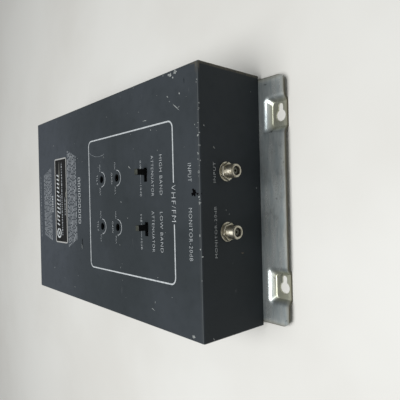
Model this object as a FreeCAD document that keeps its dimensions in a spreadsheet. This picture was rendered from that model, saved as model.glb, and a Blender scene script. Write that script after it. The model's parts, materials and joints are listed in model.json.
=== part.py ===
"""Wall-mounted antenna distribution unit: painted case, stamped back plate, ports, controls and electronics.

Row frame, in millimetres: +X across the case, -Y towards the input end, +Z out of the control panel,
origin on the wall plane under the middle of the case.
"""
import FreeCAD
import Part
import Sketcher
import math
import os

DIMENSIONS = (
    # The case.
    ("case_width", 184.0, "outside width across X"),
    ("case_length", 278.8, "outside length along Y"),
    ("case_height", 59.8, "outside height above the back plate"),
    ("case_gauge", 1.2, "sheet thickness of the case"),
    ("panel_bend", 2.0, "outside radius of the bends round the panel"),
    ("corner_bend", 0.7, "outside radius of the folded corners"),
    ("seam_depth", 0.7, "depth of the open corner seam"),
    ("seam_width", 0.35, "width of the open corner seam"),
    ("lip_screw", 7.92, "distance of the case screws from the case's long sides"),
    ("case_screw_run", 110.0, "distance of the end case screws from the middle"),
    ("lip_width", 12.0, "inward lip that takes the back plate screws"),
    # The back plate and its stamped feet.
    ("plate_width", 178.0, "width of the back plate"),
    ("plate_gauge", 1.2, "sheet thickness of the back plate"),
    ("plate_corner", 5.5, "corner radius of the back plate"),
    ("flange_reach", 23.1, "how far the back plate stands out past each end of the case"),
    ("foot_drop", 3.5, "depth of a stamped foot below the plate"),
    ("foot_pitch", 123.0, "distance between two feet on one flange"),
    ("foot_base", 25.6, "width of a foot where it leaves the plate"),
    ("foot_slope", 3.7, "run of a foot's side slopes"),
    ("foot_gap", 5.9, "distance from the case to where a foot starts"),
    ("foot_back_slope", 4.4, "run of a foot's slope on the case side"),
    ("key_round", 8.4, "diameter of a keyhole's round end"),
    ("key_slot", 4.3, "width of a keyhole's narrow end"),
    ("key_shift", 1.0, "offset of the round end from the middle of its foot"),
    ("key_run", 6.65, "distance between the two ends' centres"),
    ("key_reach", 17.3, "distance from the case to the keyhole's middle line"),
    # Coaxial ports.
    ("port_pitch", 41.0, "distance between the two ports and between the two bands"),
    ("port_rise", 35.5, "height of the ports above the back plate"),
    ("port_reach", 10.0, "how far a port stands out of the case"),
    ("port_radius", 4.75, "outside radius of the threaded barrel"),
    ("port_relief", 4.2, "radius of the barrel at its thread's root, under the nut and behind the flange"),
    ("port_bore", 3.1, "radius of the barrel's bore"),
    ("port_flange", 6.2, "radius of the flange inside the case"),
    ("port_flange_depth", 2.0, "thickness of the flange"),
    ("port_tail", 6.0, "length of the body behind the flange"),
    ("port_recess", 1.4, "depth of the insulator below the rim"),
    ("washer_radius", 6.65, "outside radius of the lock washer"),
    ("washer_gauge", 0.5, "thickness of the lock washer"),
    ("nut_flats", 11.1, "width of the nut across its flats"),
    ("nut_depth", 2.5, "thickness of the nut"),
    ("contact_radius", 0.5, "radius of the centre contact's tail"),
    ("socket_radius", 0.95, "outside radius of the centre contact's socket"),
    ("socket_bore", 0.55, "bore of the centre contact's socket"),
    ("socket_shy", 0.3, "how far the contact's socket stays below the insulator's face"),
    ("socket_depth", 6.7, "depth of the contact's socket"),
    ("tail_stand", 1.0, "how far the contact's tail stands through the board"),
    ("rim_chamfer", 0.4, "chamfer on a port's rim"),
    ("thread_start", 0.1, "gap between the nut and the start of the full barrel"),
    ("washer_gap", 0.2, "radial gap inside the washer"),
    ("tail_run", 10.4, "distance from the case end to the contact's upright tail"),
    # Controls on the panel.
    ("switch_from_end", 61.5, "distance of the slide switches from the input end"),
    ("control_shift", 1.0, "offset of the controls from the middle of the case towards +X"),
    ("slot_length", 10.6, "length of a slide switch slot"),
    ("slot_width", 4.4, "width of a slide switch slot"),
    ("lever_length", 4.4, "lever size along its travel"),
    ("lever_width", 4.2, "lever size across its travel"),
    ("lever_rise", 8.6, "height of a lever above the panel"),
    ("lever_travel", 4.0, "full travel of a lever"),
    ("low_lever_rest", 1.2, "rest offset of the low band lever from the middle of its slot"),
    ("lever_edge", 0.35, "chamfer on a lever's top"),
    ("lever_foot", 2.3, "height of a lever's foot above the board"),
    ("switch_length", 17.0, "slide switch housing along X"),
    ("switch_width", 7.6, "slide switch housing along Y"),
    ("switch_height", 8.0, "slide switch housing height"),
    ("switch_floor", 2.0, "thickness of a slide switch's floor"),
    ("switch_gap", 0.2, "how much larger than the panel's slot a slide switch's well is"),
    ("gain_from_end", 104.0, "distance of the gain trimmers from the input end"),
    ("tilt_from_end", 130.0, "distance of the tilt trimmers from the input end"),
    ("access_radius", 3.2, "radius of a screwdriver hole"),
    ("trimmer_side", 9.0, "side of a trimmer's square housing"),
    ("trimmer_height", 5.5, "height of a trimmer's housing"),
    ("rotor_radius", 3.1, "radius of a trimmer's rotor"),
    ("rotor_depth", 1.4, "thickness of a trimmer's rotor"),
    ("stem_radius", 1.2, "radius of a rotor's stem"),
    ("rotor_slot_width", 0.9, "width of the screwdriver slot in a rotor"),
    ("rotor_slot_depth", 0.8, "depth of the screwdriver slot in a rotor"),
    ("rotor_gap", 0.1, "gap under a rotor"),
    ("stem_floor", 0.5, "thickness of a trimmer's floor"),
    ("stem_gap", 0.3, "gap under a rotor's stem"),
    ("running_gap", 0.05, "radial running clearance"),
    ("free_gap", 0.3, "clearance round larger moving faces"),
    # Name label.
    ("label_left", -39.2, "left edge of the name label"),
    ("label_right", 48.0, "right edge of the name label"),
    ("label_near", 202.3, "near edge of the label from the input end"),
    ("label_far", 231.2, "far edge of the label from the input end"),
    ("label_gauge", 0.4, "thickness of the label"),
    ("label_corner", 2.4, "corner radius of the label"),
    ("label_rim", 1.2, "width of the label's raised rim"),
    ("label_etch", 0.12, "depth of the label's dark field"),
    # Circuit board and what stands on it.
    ("board_width", 124.0, "width of the main circuit board"),
    ("board_length", 268.0, "length of the main circuit board"),
    ("board_gauge", 1.6, "thickness of the circuit boards"),
    ("post_side", 5.0, "distance of the board's posts from its long edges"),
    ("post_end", 12.0, "distance of the board's end posts from its short edges"),
    ("supply_post_edge", 4.0, "distance of the supply board's posts from its edges"),
    ("board_gap", 10.0, "space between the main board and the panel"),
    ("post_flats", 6.0, "width of a standoff across its flats"),
    ("screw_radius", 1.45, "radius of a board screw"),
    ("screw_hole", 1.6, "radius of a board screw hole"),
    ("tail_gap", 0.15, "radial gap round a contact's tail in the board"),
    ("screw_head", 2.8, "radius of a screw head"),
    ("screw_head_depth", 2.0, "thickness of a screw head"),
    ("fence_gauge", 0.5, "sheet thickness of the band shield"),
    ("fence_height", 9.0, "height of the band shield"),
    ("fence_side", 46.0, "half the width of the band shield"),
    ("fence_near", -118.0, "end of the band shield near the input ports"),
    ("fence_far", 12.0, "other end of the band shield"),
    ("can_radius", 4.2, "radius of a transistor can"),
    ("can_height", 6.6, "height of a transistor can"),
    ("sink_radius", 7.0, "radius of a transistor's heat sink"),
    ("sink_lift", 1.2, "gap under a transistor's heat sink"),
    ("sink_depth", 5.0, "height of a transistor's heat sink"),
    ("coil_x", 9.0, "distance of the coils from the middle of the board"),
    ("coil_radius", 3.4, "radius of a tuning coil"),
    ("coil_bore", 1.6, "bore of a tuning coil"),
    ("coil_height", 7.0, "height of a tuning coil"),
    ("small_can_radius", 2.5, "radius of a board capacitor"),
    ("small_can_height", 8.0, "height of a board capacitor"),
    ("chip_length", 6.3, "length of a board resistor"),
    ("chip_width", 2.4, "width and height of a board resistor"),
    # Power supply.
    ("supply_x", 28.0, "middle of the supply board across X"),
    ("supply_y", 72.0, "middle of the supply board along Y"),
    ("supply_width", 46.0, "width of the supply board"),
    ("supply_length", 80.0, "length of the supply board"),
    ("supply_rise", 8.0, "height of the supply board above the back plate"),
    ("filter_radius", 8.0, "radius of a filter capacitor"),
    ("filter_height", 28.0, "height of a filter capacitor"),
    ("diode_length", 5.2, "length of a rectifier diode"),
    ("diode_radius", 1.35, "radius of a rectifier diode"),
    ("fuse_length", 20.0, "length of the fuse"),
    ("fuse_radius", 2.5, "radius of the fuse"),
    ("fuse_rise", 4.2, "height of the fuse above the supply board"),
    ("fuse_x", 15.0, "distance of the fuse from the middle of the supply board"),
    ("clip_width", 7.0, "width of a fuse clip"),
    ("clip_depth", 3.0, "length of a fuse clip"),
    ("clip_height", 5.5, "height of a fuse clip"),
    ("regulator_width", 10.0, "width of the voltage regulator"),
    ("regulator_depth", 4.4, "thickness of the voltage regulator"),
    ("regulator_height", 15.0, "height of the voltage regulator"),
    ("comb_height", 22.0, "height of the regulator's heat sink"),
    ("power_lead_radius", 0.8, "radius of a lead between the boards"),
    ("core_x", -24.0, "middle of the transformer across X"),
    ("core_y", 70.0, "middle of the transformer along Y"),
    ("core_width", 50.0, "transformer core width"),
    ("core_depth", 22.0, "transformer core stack depth"),
    ("core_height", 42.0, "transformer core height"),
    ("core_leg", 8.4, "width of the core's outer legs"),
    ("coil_swell", 8.0, "how far the winding stands out of the core"),
    ("core_slack", 0.2, "gap between the winding and the core's windows"),
    ("winding_lead", 17.0, "length of a winding's lead"),
    ("winding_lead_radius", 0.7, "radius of a winding's lead"),
    ("strap_width", 14.0, "width of the transformer strap"),
    ("strap_gauge", 0.8, "thickness of the transformer strap"),
    ("strap_ear", 8.0, "length of each ear of the strap"),
    ("bush_x", -62.0, "middle of the cord bushing across X"),
    ("bush_rise", 22.0, "height of the cord bushing above the back plate"),
    ("bush_radius", 6.0, "radius of the bushing's hole in the case"),
    ("bush_bore", 3.6, "radius of the bushing's own bore"),
    ("bush_lip", 1.6, "how far the bushing's lip stands out past its hole, and its height at the rim"),
    ("bush_crown", 2.6, "height of the bushing's lip outside the case"),
    ("bush_barb", 1.0, "how far the bushing's barbs stand out past its hole, and its lip's chamfer"),
    ("bush_tail", 5.0, "length of the bushing inside the case"),
    # Screw shanks.
    ("case_shank", 6.0, "shank length of the case screws"),
    ("post_shank", 6.4, "shank length of the screws under the standoffs"),
    ("board_shank", 7.0, "shank length of the main board's screws"),
    ("supply_shank", 4.0, "shank length of the supply board's screws"),
    ("strap_shank", 3.4, "shank length of the strap's screws"),
)

# Formulas that several sub-parts share, in the sheet's own words.
PLATE_TOP = "(dims.foot_drop + dims.plate_gauge)"
PANEL_TOP = "(dims.foot_drop + dims.plate_gauge + dims.case_height)"
CASE_END = "(dims.case_length / 2)"
CASE_SIDE = "(dims.case_width / 2)"
PLATE_END = "(dims.case_length / 2 + dims.flange_reach)"
BOARD_TOP = "(%s - dims.case_gauge - dims.board_gap)" % PANEL_TOP
BOARD_UNDER = "(%s - dims.board_gauge)" % BOARD_TOP
PORT_LEVEL = "(%s + dims.port_rise)" % PLATE_TOP
SUPPLY_UNDER = "(%s + dims.supply_rise)" % PLATE_TOP
SUPPLY_TOP = "(%s + dims.board_gauge)" % SUPPLY_UNDER
BAND_X = "(dims.port_pitch / 2)"
SWITCH_Y = "(dims.switch_from_end - dims.case_length / 2)"
TRIMMER_Y = {
    "gain": "(dims.gain_from_end - dims.case_length / 2)",
    "tilt": "(dims.tilt_from_end - dims.case_length / 2)",
}
BANDS = {"high": "", "low": "-"}
CONTROL_X = {band: "(%s%s + dims.control_shift)" % (sign, BAND_X) for band, sign in BANDS.items()}
# Side, end of the case, and how far each port's nut is turned, in degrees.
PORTS = {"input": ("", "near", 0), "monitor": ("-", "near", -14), "output": ("", "far", 9)}

# Two levels this close, in millimetres, are one level.
TOUCHING = 1e-6

doc = FreeCAD.newDocument("distribution_unit")
sheet = doc.addObject("Spreadsheet::Sheet", "dims")
for row, (alias, size, note) in enumerate(DIMENSIONS, start=1):
    sheet.set("A%d" % row, str(size))
    sheet.setAlias("A%d" % row, alias)
    sheet.set("B%d" % row, note)
doc.recompute()
sub_parts = []


# ---------------------------------------------------------------- helpers

def number(formula):
    """Present value of a sheet formula."""
    return float(sheet.evalExpression(formula))


def new_body(name):
    """Empty body that becomes one sub-part."""
    body = doc.addObject("PartDesign::Body", name)
    body.Label = name
    sub_parts.append(body)
    return body


def new_sketch(body, plane="XY_Plane", lift="0"):
    """Sketch on one of the body's own planes, moved along the plane's normal."""
    sketch = body.newObject("Sketcher::SketchObject", body.Name + "_sketch")
    support = [item for item in body.Origin.OriginFeatures if item.Role == plane][0]
    sketch.AttachmentSupport = [(support, "")]
    sketch.MapMode = "FlatFace"
    sketch.setExpression("AttachmentOffset.Base.z", lift)
    return sketch


def hold_point(sketch, geometry, vertex, x, y):
    """Fixes a sketch point at two sheet formulas."""
    for kind, formula in (("DistanceX", x), ("DistanceY", y)):
        slot = sketch.addConstraint(Sketcher.Constraint(kind, -1, 1, geometry, vertex, number(formula)))
        sketch.setExpression("Constraints[%d]" % slot, formula)


def draw_outline(sketch, points):
    """Closed outline of straight lines through points given as formulas."""
    corners = [FreeCAD.Vector(number(x), number(y), 0) for x, y in points]
    first = sketch.GeometryCount
    count = len(corners)
    for index in range(count):
        line = Part.LineSegment(corners[index], corners[(index + 1) % count])
        sketch.addGeometry(line, False)
    for index, (x, y) in enumerate(points):
        following = first + (index + 1) % count
        sketch.addConstraint(Sketcher.Constraint("Coincident", first + index, 2, following, 1))
        hold_point(sketch, first + index, 1, x, y)


def draw_rectangle(sketch, x_low, y_low, x_high, y_high):
    """Rectangle between two opposite corners."""
    draw_outline(sketch, ((x_low, y_low), (x_high, y_low), (x_high, y_high), (x_low, y_high)))


def draw_centred(sketch, x, y, width, depth):
    """Rectangle about a centre."""
    half_x = "(%s) / 2" % width
    half_y = "(%s) / 2" % depth
    draw_rectangle(sketch, "%s - %s" % (x, half_x), "%s - %s" % (y, half_y),
                   "%s + %s" % (x, half_x), "%s + %s" % (y, half_y))


def draw_circle(sketch, x, y, radius):
    """Circle about a centre."""
    centre = FreeCAD.Vector(number(x), number(y), 0)
    circle = sketch.addGeometry(Part.Circle(centre, FreeCAD.Vector(0, 0, 1), number(radius)), False)
    hold_point(sketch, circle, 3, x, y)
    slot = sketch.addConstraint(Sketcher.Constraint("Radius", circle, number(radius)))
    sketch.setExpression("Constraints[%d]" % slot, radius)


def draw_hexagon(sketch, x, y, flats, turn=0):
    """Hexagon with two corners on the X direction, turned by some degrees."""
    points = []
    for step in range(6):
        angle = math.radians(60 * step + turn)
        across = "(%s) / sqrt(3)" % flats
        points.append(("%s + %s * %.12f" % (x, across, math.cos(angle)),
                       "%s + %s * %.12f" % (y, across, math.sin(angle))))
    draw_outline(sketch, points)


def add_pad(body, sketch, length, backwards=False):
    """Material from a sketch."""
    pad = body.newObject("PartDesign::Pad", body.Name + "_pad")
    pad.Profile = sketch
    pad.setExpression("Length", length)
    pad.Reversed = backwards
    body.Tip = pad
    return pad


def cut_pocket(body, sketch, length, forwards=False):
    """Cut against the sketch's normal, or along it."""
    pocket = body.newObject("PartDesign::Pocket", body.Name + "_pocket")
    pocket.Profile = sketch
    pocket.setExpression("Length", length)
    pocket.Reversed = forwards
    body.Tip = pocket
    return pocket


def turn_profile(body, points):
    """Solid of revolution about the body's Z axis from (radius, height) formulas."""
    sketch = new_sketch(body, "XZ_Plane")
    draw_outline(sketch, points)
    turned = body.newObject("PartDesign::Revolution", body.Name + "_turned")
    turned.Profile = sketch
    turned.ReferenceAxis = (sketch, ["V_Axis"])
    turned.Angle = 360
    body.Tip = turned
    return turned


def edges_that(shape, test):
    """Names of the straight edges whose two end points pass a test."""
    names = []
    for index, edge in enumerate(shape.Edges, start=1):
        if len(edge.Vertexes) == 2 and test(edge.Vertexes[0].Point, edge.Vertexes[1].Point):
            names.append("Edge%d" % index)
    return names


def round_edges(body, feature, test, radius):
    """Fillet on the edges of a feature that pass a test."""
    doc.recompute()
    fillet = body.newObject("PartDesign::Fillet", body.Name + "_fillet")
    fillet.Base = (feature, edges_that(feature.Shape, test))
    fillet.setExpression("Radius", radius)
    body.Tip = fillet
    return fillet


def is_upright(low, high):
    """True for an edge along Z."""
    return abs(low.x - high.x) < TOUCHING and abs(low.y - high.y) < TOUCHING


def place(body, x, y, z, axis=(0, 0, 1), angle=0):
    """Turns a body and binds where it stands."""
    turn = FreeCAD.Rotation(FreeCAD.Vector(*axis), angle)
    body.Placement = FreeCAD.Placement(FreeCAD.Vector(0, 0, 0), turn)
    for letter, formula in (("x", x), ("y", y), ("z", z)):
        body.setExpression("Placement.Base.%s" % letter, formula)


def block_group(name, lift, height, boxes):
    """Blocks of one height standing on one level, each (x, y, width, depth)."""
    body = new_body(name)
    sketch = new_sketch(body, lift=lift)
    for x, y, width, depth in boxes:
        draw_centred(sketch, x, y, width, depth)
    add_pad(body, sketch, height)
    return body


def drum_group(name, lift, height, radius, centres, plane="XY_Plane"):
    """Equal cylinders standing on one plane."""
    body = new_body(name)
    sketch = new_sketch(body, plane, lift)
    for x, y in centres:
        draw_circle(sketch, x, y, radius)
    add_pad(body, sketch, height)
    return body


# ---------------------------------------------------------------- positions

def mirrored_pairs(x, y):
    """The four points at plus and minus x and y."""
    return [("%s%s" % (sign_x, x), "%s%s" % (sign_y, y)) for sign_x in ("", "-") for sign_y in ("", "-")]


CASE_SCREWS = [("%s(%s - dims.lip_screw)" % (sign, CASE_SIDE), y)
               for sign in ("", "-") for y in ("-dims.case_screw_run", "0", "dims.case_screw_run")]
POST_END = "(dims.board_length / 2 - dims.post_end)"
BOARD_POSTS = [("%s(dims.board_width / 2 - dims.post_side)" % sign, y) for sign in ("", "-")
               for y in ("-" + POST_END, "0", POST_END)]
SUPPLY_POSTS = [("dims.supply_x %s (dims.supply_width / 2 - dims.supply_post_edge)" % sign_x,
                 "dims.supply_y %s (dims.supply_length / 2 - dims.supply_post_edge)" % sign_y)
                for sign_x in "+-" for sign_y in "+-"]
STRAP_SCREWS = [("dims.core_x %s (dims.core_width / 2 + dims.strap_gauge + dims.strap_ear / 2)" % sign,
                 "dims.core_y") for sign in "+-"]
TAIL_SPOTS = [("%s%s" % (sign, BAND_X), "%s(%s - dims.tail_run)" % ("-" if end == "near" else "", CASE_END))
              for sign, end, _ in PORTS.values()]


# ---------------------------------------------------------------- case and back plate

def make_housing():
    """Folded steel case: panel, four walls, inward lips, and the cut-outs for ports and controls."""
    body = new_body("housing")
    shell = new_sketch(body, lift=PLATE_TOP)
    draw_centred(shell, "0", "0", "dims.case_width", "dims.case_length")
    outer = add_pad(body, shell, "dims.case_height")
    top = number(PANEL_TOP)
    round_edges(body, outer, lambda low, high: abs(low.z - top) < TOUCHING and abs(high.z - top) < TOUCHING,
                "dims.panel_bend")
    hollow = new_sketch(body, lift=PLATE_TOP)
    draw_centred(hollow, "0", "0", "dims.case_width - 2 * dims.case_gauge",
                 "dims.case_length - 2 * dims.case_gauge")
    cavity = cut_pocket(body, hollow, "dims.case_height - dims.case_gauge", forwards=True)
    half_width = number(CASE_SIDE)
    inner_level = number(PANEL_TOP) - number("dims.case_gauge")
    round_edges(body, cavity,
                lambda low, high: (is_upright(low, high) and abs(abs(low.x) - half_width) < TOUCHING)
                or (abs(low.z - inner_level) < TOUCHING and abs(high.z - inner_level) < TOUCHING
                    and abs(low.x) < half_width - 0.5 and abs(high.x) < half_width - 0.5),
                "dims.corner_bend")
    lip = new_sketch(body, lift=PLATE_TOP)
    draw_centred(lip, "0", "0", "dims.case_width - dims.case_gauge", "dims.case_length - dims.case_gauge")
    draw_centred(lip, "0", "0", "dims.case_width - 2 * dims.lip_width",
                 "dims.case_length - 2 * dims.lip_width")
    add_pad(body, lip, "dims.case_gauge")
    holes = new_sketch(body, lift=PANEL_TOP)
    for x in CONTROL_X.values():
        draw_centred(holes, x, SWITCH_Y, "dims.slot_length", "dims.slot_width")
        for level in TRIMMER_Y.values():
            draw_circle(holes, x, level, "dims.access_radius")
    cut_pocket(body, holes, "dims.case_gauge * 2")
    screws = new_sketch(body, lift=PLATE_TOP)
    for x, y in CASE_SCREWS:
        draw_circle(screws, x, y, "dims.screw_hole")
    cut_pocket(body, screws, "dims.case_gauge * 2", forwards=True)
    near = new_sketch(body, "XZ_Plane", CASE_END)
    for sign in BANDS.values():
        draw_circle(near, sign + BAND_X, PORT_LEVEL, "dims.port_relief + dims.running_gap")
    cut_pocket(body, near, "dims.case_gauge * 2")
    far = new_sketch(body, "XZ_Plane", "-" + CASE_END)
    draw_circle(far, BAND_X, PORT_LEVEL, "dims.port_relief + dims.running_gap")
    draw_circle(far, "dims.bush_x", PLATE_TOP + " + dims.bush_rise", "dims.bush_radius")
    cut_pocket(body, far, "dims.case_gauge * 2", forwards=True)
    seam = new_sketch(body, lift=PLATE_TOP)
    for x, y in mirrored_pairs(CASE_SIDE, "(%s - dims.case_gauge - dims.seam_width / 2)" % CASE_END):
        draw_centred(seam, x, y, "2 * dims.seam_depth", "dims.seam_width")
    cut_pocket(body, seam, "dims.case_height - dims.panel_bend", forwards=True)


def make_mounting_plate():
    """Galvanised back plate with four feet stamped towards the wall, a keyhole in each."""
    body = new_body("mounting_plate")
    blank = new_sketch(body, lift="dims.foot_drop")
    draw_centred(blank, "0", "0", "dims.plate_width", "2 * " + PLATE_END)
    flat = add_pad(body, blank, "dims.plate_gauge")
    round_edges(body, flat, is_upright, "dims.plate_corner")
    feet = [(sign_x, sign_y) for sign_x in ("", "-") for sign_y in ("", "-")]
    for operation, rise, overhang in (("Additive", "0", "0"), ("Subtractive", "dims.plate_gauge", "1")):
        for sign_x, sign_y in feet:
            middle = "%sdims.foot_pitch / 2" % sign_x
            outer = "%s(%s + %s)" % (sign_y, PLATE_END, overhang)
            half = "(dims.foot_base / 2)"
            base = new_sketch(body, lift="dims.foot_drop + " + rise)
            draw_rectangle(base, "%s - %s" % (middle, half), "%s(%s + dims.foot_gap)" % (sign_y, CASE_END),
                           "%s + %s" % (middle, half), outer)
            floor = new_sketch(body, lift=rise)
            half = "(dims.foot_base / 2 - dims.foot_slope)"
            draw_rectangle(floor, "%s - %s" % (middle, half),
                           "%s(%s + dims.foot_gap + dims.foot_back_slope)" % (sign_y, CASE_END),
                           "%s + %s" % (middle, half), outer)
            loft = body.newObject("PartDesign::%sLoft" % operation, "foot_loft")
            loft.Profile = base
            loft.Sections = [floor]
            body.Tip = loft
    round_ends = [("%sdims.foot_pitch / 2 - dims.key_shift" % sign_x,
                   "%s(%s + dims.key_reach)" % (sign_y, CASE_END)) for sign_x, sign_y in feet]
    wide = new_sketch(body, lift=PLATE_TOP)
    narrow = new_sketch(body, lift=PLATE_TOP)
    neck = new_sketch(body, lift=PLATE_TOP)
    for x, y in round_ends:
        draw_circle(wide, x, y, "dims.key_round / 2")
        draw_circle(narrow, "%s + dims.key_run" % x, y, "dims.key_slot / 2")
        draw_centred(neck, "%s + dims.key_run / 2" % x, y, "dims.key_run", "dims.key_slot")
    for sketch in (wide, narrow, neck):
        cut_pocket(body, sketch, PLATE_TOP)
    screws = new_sketch(body, lift=PLATE_TOP)
    for x, y in CASE_SCREWS + BOARD_POSTS + SUPPLY_POSTS + STRAP_SCREWS:
        draw_circle(screws, x, y, "dims.screw_hole")
    cut_pocket(body, screws, "2 * dims.plate_gauge")


def make_label():
    """Name label with a raised rim round a dark field."""
    body = new_body("name_label")
    near = "dims.label_near - " + CASE_END
    far = "dims.label_far - " + CASE_END
    outline = new_sketch(body, lift=PANEL_TOP)
    draw_rectangle(outline, "dims.label_left", near, "dims.label_right", far)
    blank = add_pad(body, outline, "dims.label_gauge")
    round_edges(body, blank, is_upright, "dims.label_corner")
    field = new_sketch(body, lift=PANEL_TOP + " + dims.label_gauge")
    draw_rectangle(field, "dims.label_left + dims.label_rim", near + " + dims.label_rim",
                   "dims.label_right - dims.label_rim", far + " - dims.label_rim")
    cut_pocket(body, field, "dims.label_etch")


# ---------------------------------------------------------------- screws and standoffs

def make_screws(name, bearing, length, centres, head_below):
    """Pan head screws whose heads bear on one level, above it or below it."""
    body = new_body(name)
    heads = new_sketch(body, lift=bearing)
    shanks = new_sketch(body, lift=bearing)
    for x, y in centres:
        draw_circle(heads, x, y, "dims.screw_head")
        draw_circle(shanks, x, y, "dims.screw_radius")
    add_pad(body, heads, "dims.screw_head_depth", backwards=head_below)
    add_pad(body, shanks, length, backwards=not head_below)


def make_posts(name, height, centres):
    """Hexagonal standoffs with a bore from end to end, standing on the back plate."""
    body = new_body(name)
    outside = new_sketch(body, lift=PLATE_TOP)
    bores = new_sketch(body, lift=PLATE_TOP)
    for x, y in centres:
        draw_hexagon(outside, x, y, "dims.post_flats")
        draw_circle(bores, x, y, "dims.screw_radius + dims.running_gap")
    add_pad(body, outside, height)
    cut_pocket(body, bores, height, forwards=True)


# ---------------------------------------------------------------- coaxial ports

def make_port(name, sign, end, nut_turn):
    """Coaxial port as five pieces on one axis, the local Z axis pointing out of the case."""
    outward = 90 if end == "near" else -90
    side = "-" if end == "near" else ""
    spot = (sign + BAND_X, side + CASE_END, PORT_LEVEL)
    nut_top = "dims.washer_gauge + dims.nut_depth"
    back = "(dims.case_gauge + dims.port_flange_depth)"

    shell = new_body(name + "_port_shell")
    turn_profile(shell, (
        ("dims.port_bore", "dims.port_reach"),
        ("dims.port_radius - dims.rim_chamfer", "dims.port_reach"),
        ("dims.port_radius", "dims.port_reach - dims.rim_chamfer"),
        ("dims.port_radius", nut_top + " + dims.thread_start"),
        ("dims.port_relief", nut_top + " + dims.thread_start"),
        ("dims.port_relief", "-dims.case_gauge"),
        ("dims.port_flange", "-dims.case_gauge"),
        ("dims.port_flange", "-" + back),
        ("dims.port_relief", "-" + back),
        ("dims.port_relief", "-%s - dims.port_tail" % back),
        ("dims.port_bore", "-%s - dims.port_tail" % back),
    ))
    insulator = new_body(name + "_port_insulator")
    turn_profile(insulator, (
        ("dims.socket_radius", "dims.port_reach - dims.port_recess"),
        ("dims.port_bore", "dims.port_reach - dims.port_recess"),
        ("dims.port_bore", "-%s - dims.port_tail" % back),
        ("dims.socket_radius", "-%s - dims.port_tail" % back),
    ))
    socket_top = "dims.port_reach - dims.port_recess - dims.socket_shy"
    socket_floor = socket_top + " - dims.socket_depth"
    contact = new_body(name + "_port_contact")
    turn_profile(contact, (
        ("dims.socket_bore", socket_top),
        ("dims.socket_radius", socket_top),
        ("dims.socket_radius", "-%s - dims.port_tail" % back),
        ("dims.contact_radius", "-%s - dims.port_tail" % back),
        ("dims.contact_radius", "-dims.tail_run - dims.contact_radius"),
        ("0", "-dims.tail_run - dims.contact_radius"),
        ("0", socket_floor),
        ("dims.socket_bore", socket_floor),
    ))
    upright = new_sketch(contact, "XZ_Plane")
    draw_circle(upright, "0", "-dims.tail_run", "0.8 * dims.contact_radius")
    rise = "%s + dims.tail_stand - %s" % (BOARD_TOP, PORT_LEVEL)
    add_pad(contact, upright, rise, backwards=end == "near")

    washer = new_body(name + "_port_washer")
    turn_profile(washer, (
        ("dims.port_relief + dims.washer_gap", "0"),
        ("dims.washer_radius", "0"),
        ("dims.washer_radius", "dims.washer_gauge"),
        ("dims.port_relief + dims.washer_gap", "dims.washer_gauge"),
    ))
    nut = new_body(name + "_port_nut")
    prism = new_sketch(nut, lift="dims.washer_gauge")
    draw_hexagon(prism, "0", "0", "dims.nut_flats", nut_turn)
    add_pad(nut, prism, "dims.nut_depth")
    bore = new_sketch(nut, lift="dims.washer_gauge")
    draw_circle(bore, "0", "0", "dims.port_relief + dims.running_gap")
    cut_pocket(nut, bore, "dims.nut_depth", forwards=True)
    for body in (shell, insulator, contact, washer, nut):
        place(body, *spot, axis=(1, 0, 0), angle=outward)


# ---------------------------------------------------------------- controls

def make_attenuator(band, rest):
    """Slide switch on the board, and its lever standing through the panel's slot."""
    x = CONTROL_X[band]
    holder = new_body(band + "_attenuator_switch")
    block = new_sketch(holder, lift=BOARD_TOP)
    draw_centred(block, x, SWITCH_Y, "dims.switch_length", "dims.switch_width")
    add_pad(holder, block, "dims.switch_height")
    well = new_sketch(holder, lift=BOARD_TOP + " + dims.switch_height")
    draw_centred(well, x, SWITCH_Y, "dims.slot_length + dims.switch_gap",
                 "dims.slot_width + dims.switch_gap")
    cut_pocket(holder, well, "dims.switch_height - dims.switch_floor")

    lever = new_body(band + "_attenuator_lever")
    stem = new_sketch(lever, lift="0")
    draw_centred(stem, "0", "0", "dims.lever_length", "dims.lever_width")
    height = "dims.board_gap + dims.case_gauge + dims.lever_rise - dims.lever_foot"
    post = add_pad(lever, stem, height)
    doc.recompute()
    top = number(height)
    ease = lever.newObject("PartDesign::Chamfer", "lever_edge")
    ease.Base = (post, edges_that(post.Shape, lambda low, high: min(low.z, high.z) > top - TOUCHING))
    ease.setExpression("Size", "dims.lever_edge")
    lever.Tip = ease
    place(lever, "%s + %s" % (x, rest), SWITCH_Y, BOARD_TOP + " + dims.lever_foot")


def make_trimmer(band, control):
    """Screwdriver trimmer: square housing on the board and a slotted rotor in its well."""
    spot = (CONTROL_X[band], TRIMMER_Y[control])
    holder = new_body("%s_%s_trimmer" % (band, control))
    block = new_sketch(holder, lift=BOARD_TOP)
    draw_centred(block, *spot, "dims.trimmer_side", "dims.trimmer_side")
    add_pad(holder, block, "dims.trimmer_height")
    well = new_sketch(holder, lift=BOARD_TOP + " + dims.trimmer_height")
    draw_circle(well, *spot, "dims.rotor_radius + dims.free_gap")
    cut_pocket(holder, well, "dims.rotor_depth + dims.rotor_gap")
    bore = new_sketch(holder, lift=BOARD_TOP + " + dims.trimmer_height")
    draw_circle(bore, *spot, "dims.stem_radius + dims.running_gap")
    cut_pocket(holder, bore, "dims.trimmer_height - dims.stem_floor")

    rotor = new_body("%s_%s_rotor" % (band, control))
    disc = new_sketch(rotor, lift="-dims.rotor_depth")
    draw_circle(disc, "0", "0", "dims.rotor_radius")
    add_pad(rotor, disc, "dims.rotor_depth")
    stem = new_sketch(rotor, lift="-dims.rotor_depth")
    draw_circle(stem, "0", "0", "dims.stem_radius")
    length = "dims.trimmer_height - dims.rotor_depth - dims.stem_floor - dims.stem_gap"
    add_pad(rotor, stem, length, backwards=True)
    slot = new_sketch(rotor)
    draw_centred(slot, "0", "0", "3 * dims.rotor_radius", "dims.rotor_slot_width")
    cut_pocket(rotor, slot, "dims.rotor_slot_depth")
    place(rotor, *spot, BOARD_TOP + " + dims.trimmer_height")


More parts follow.
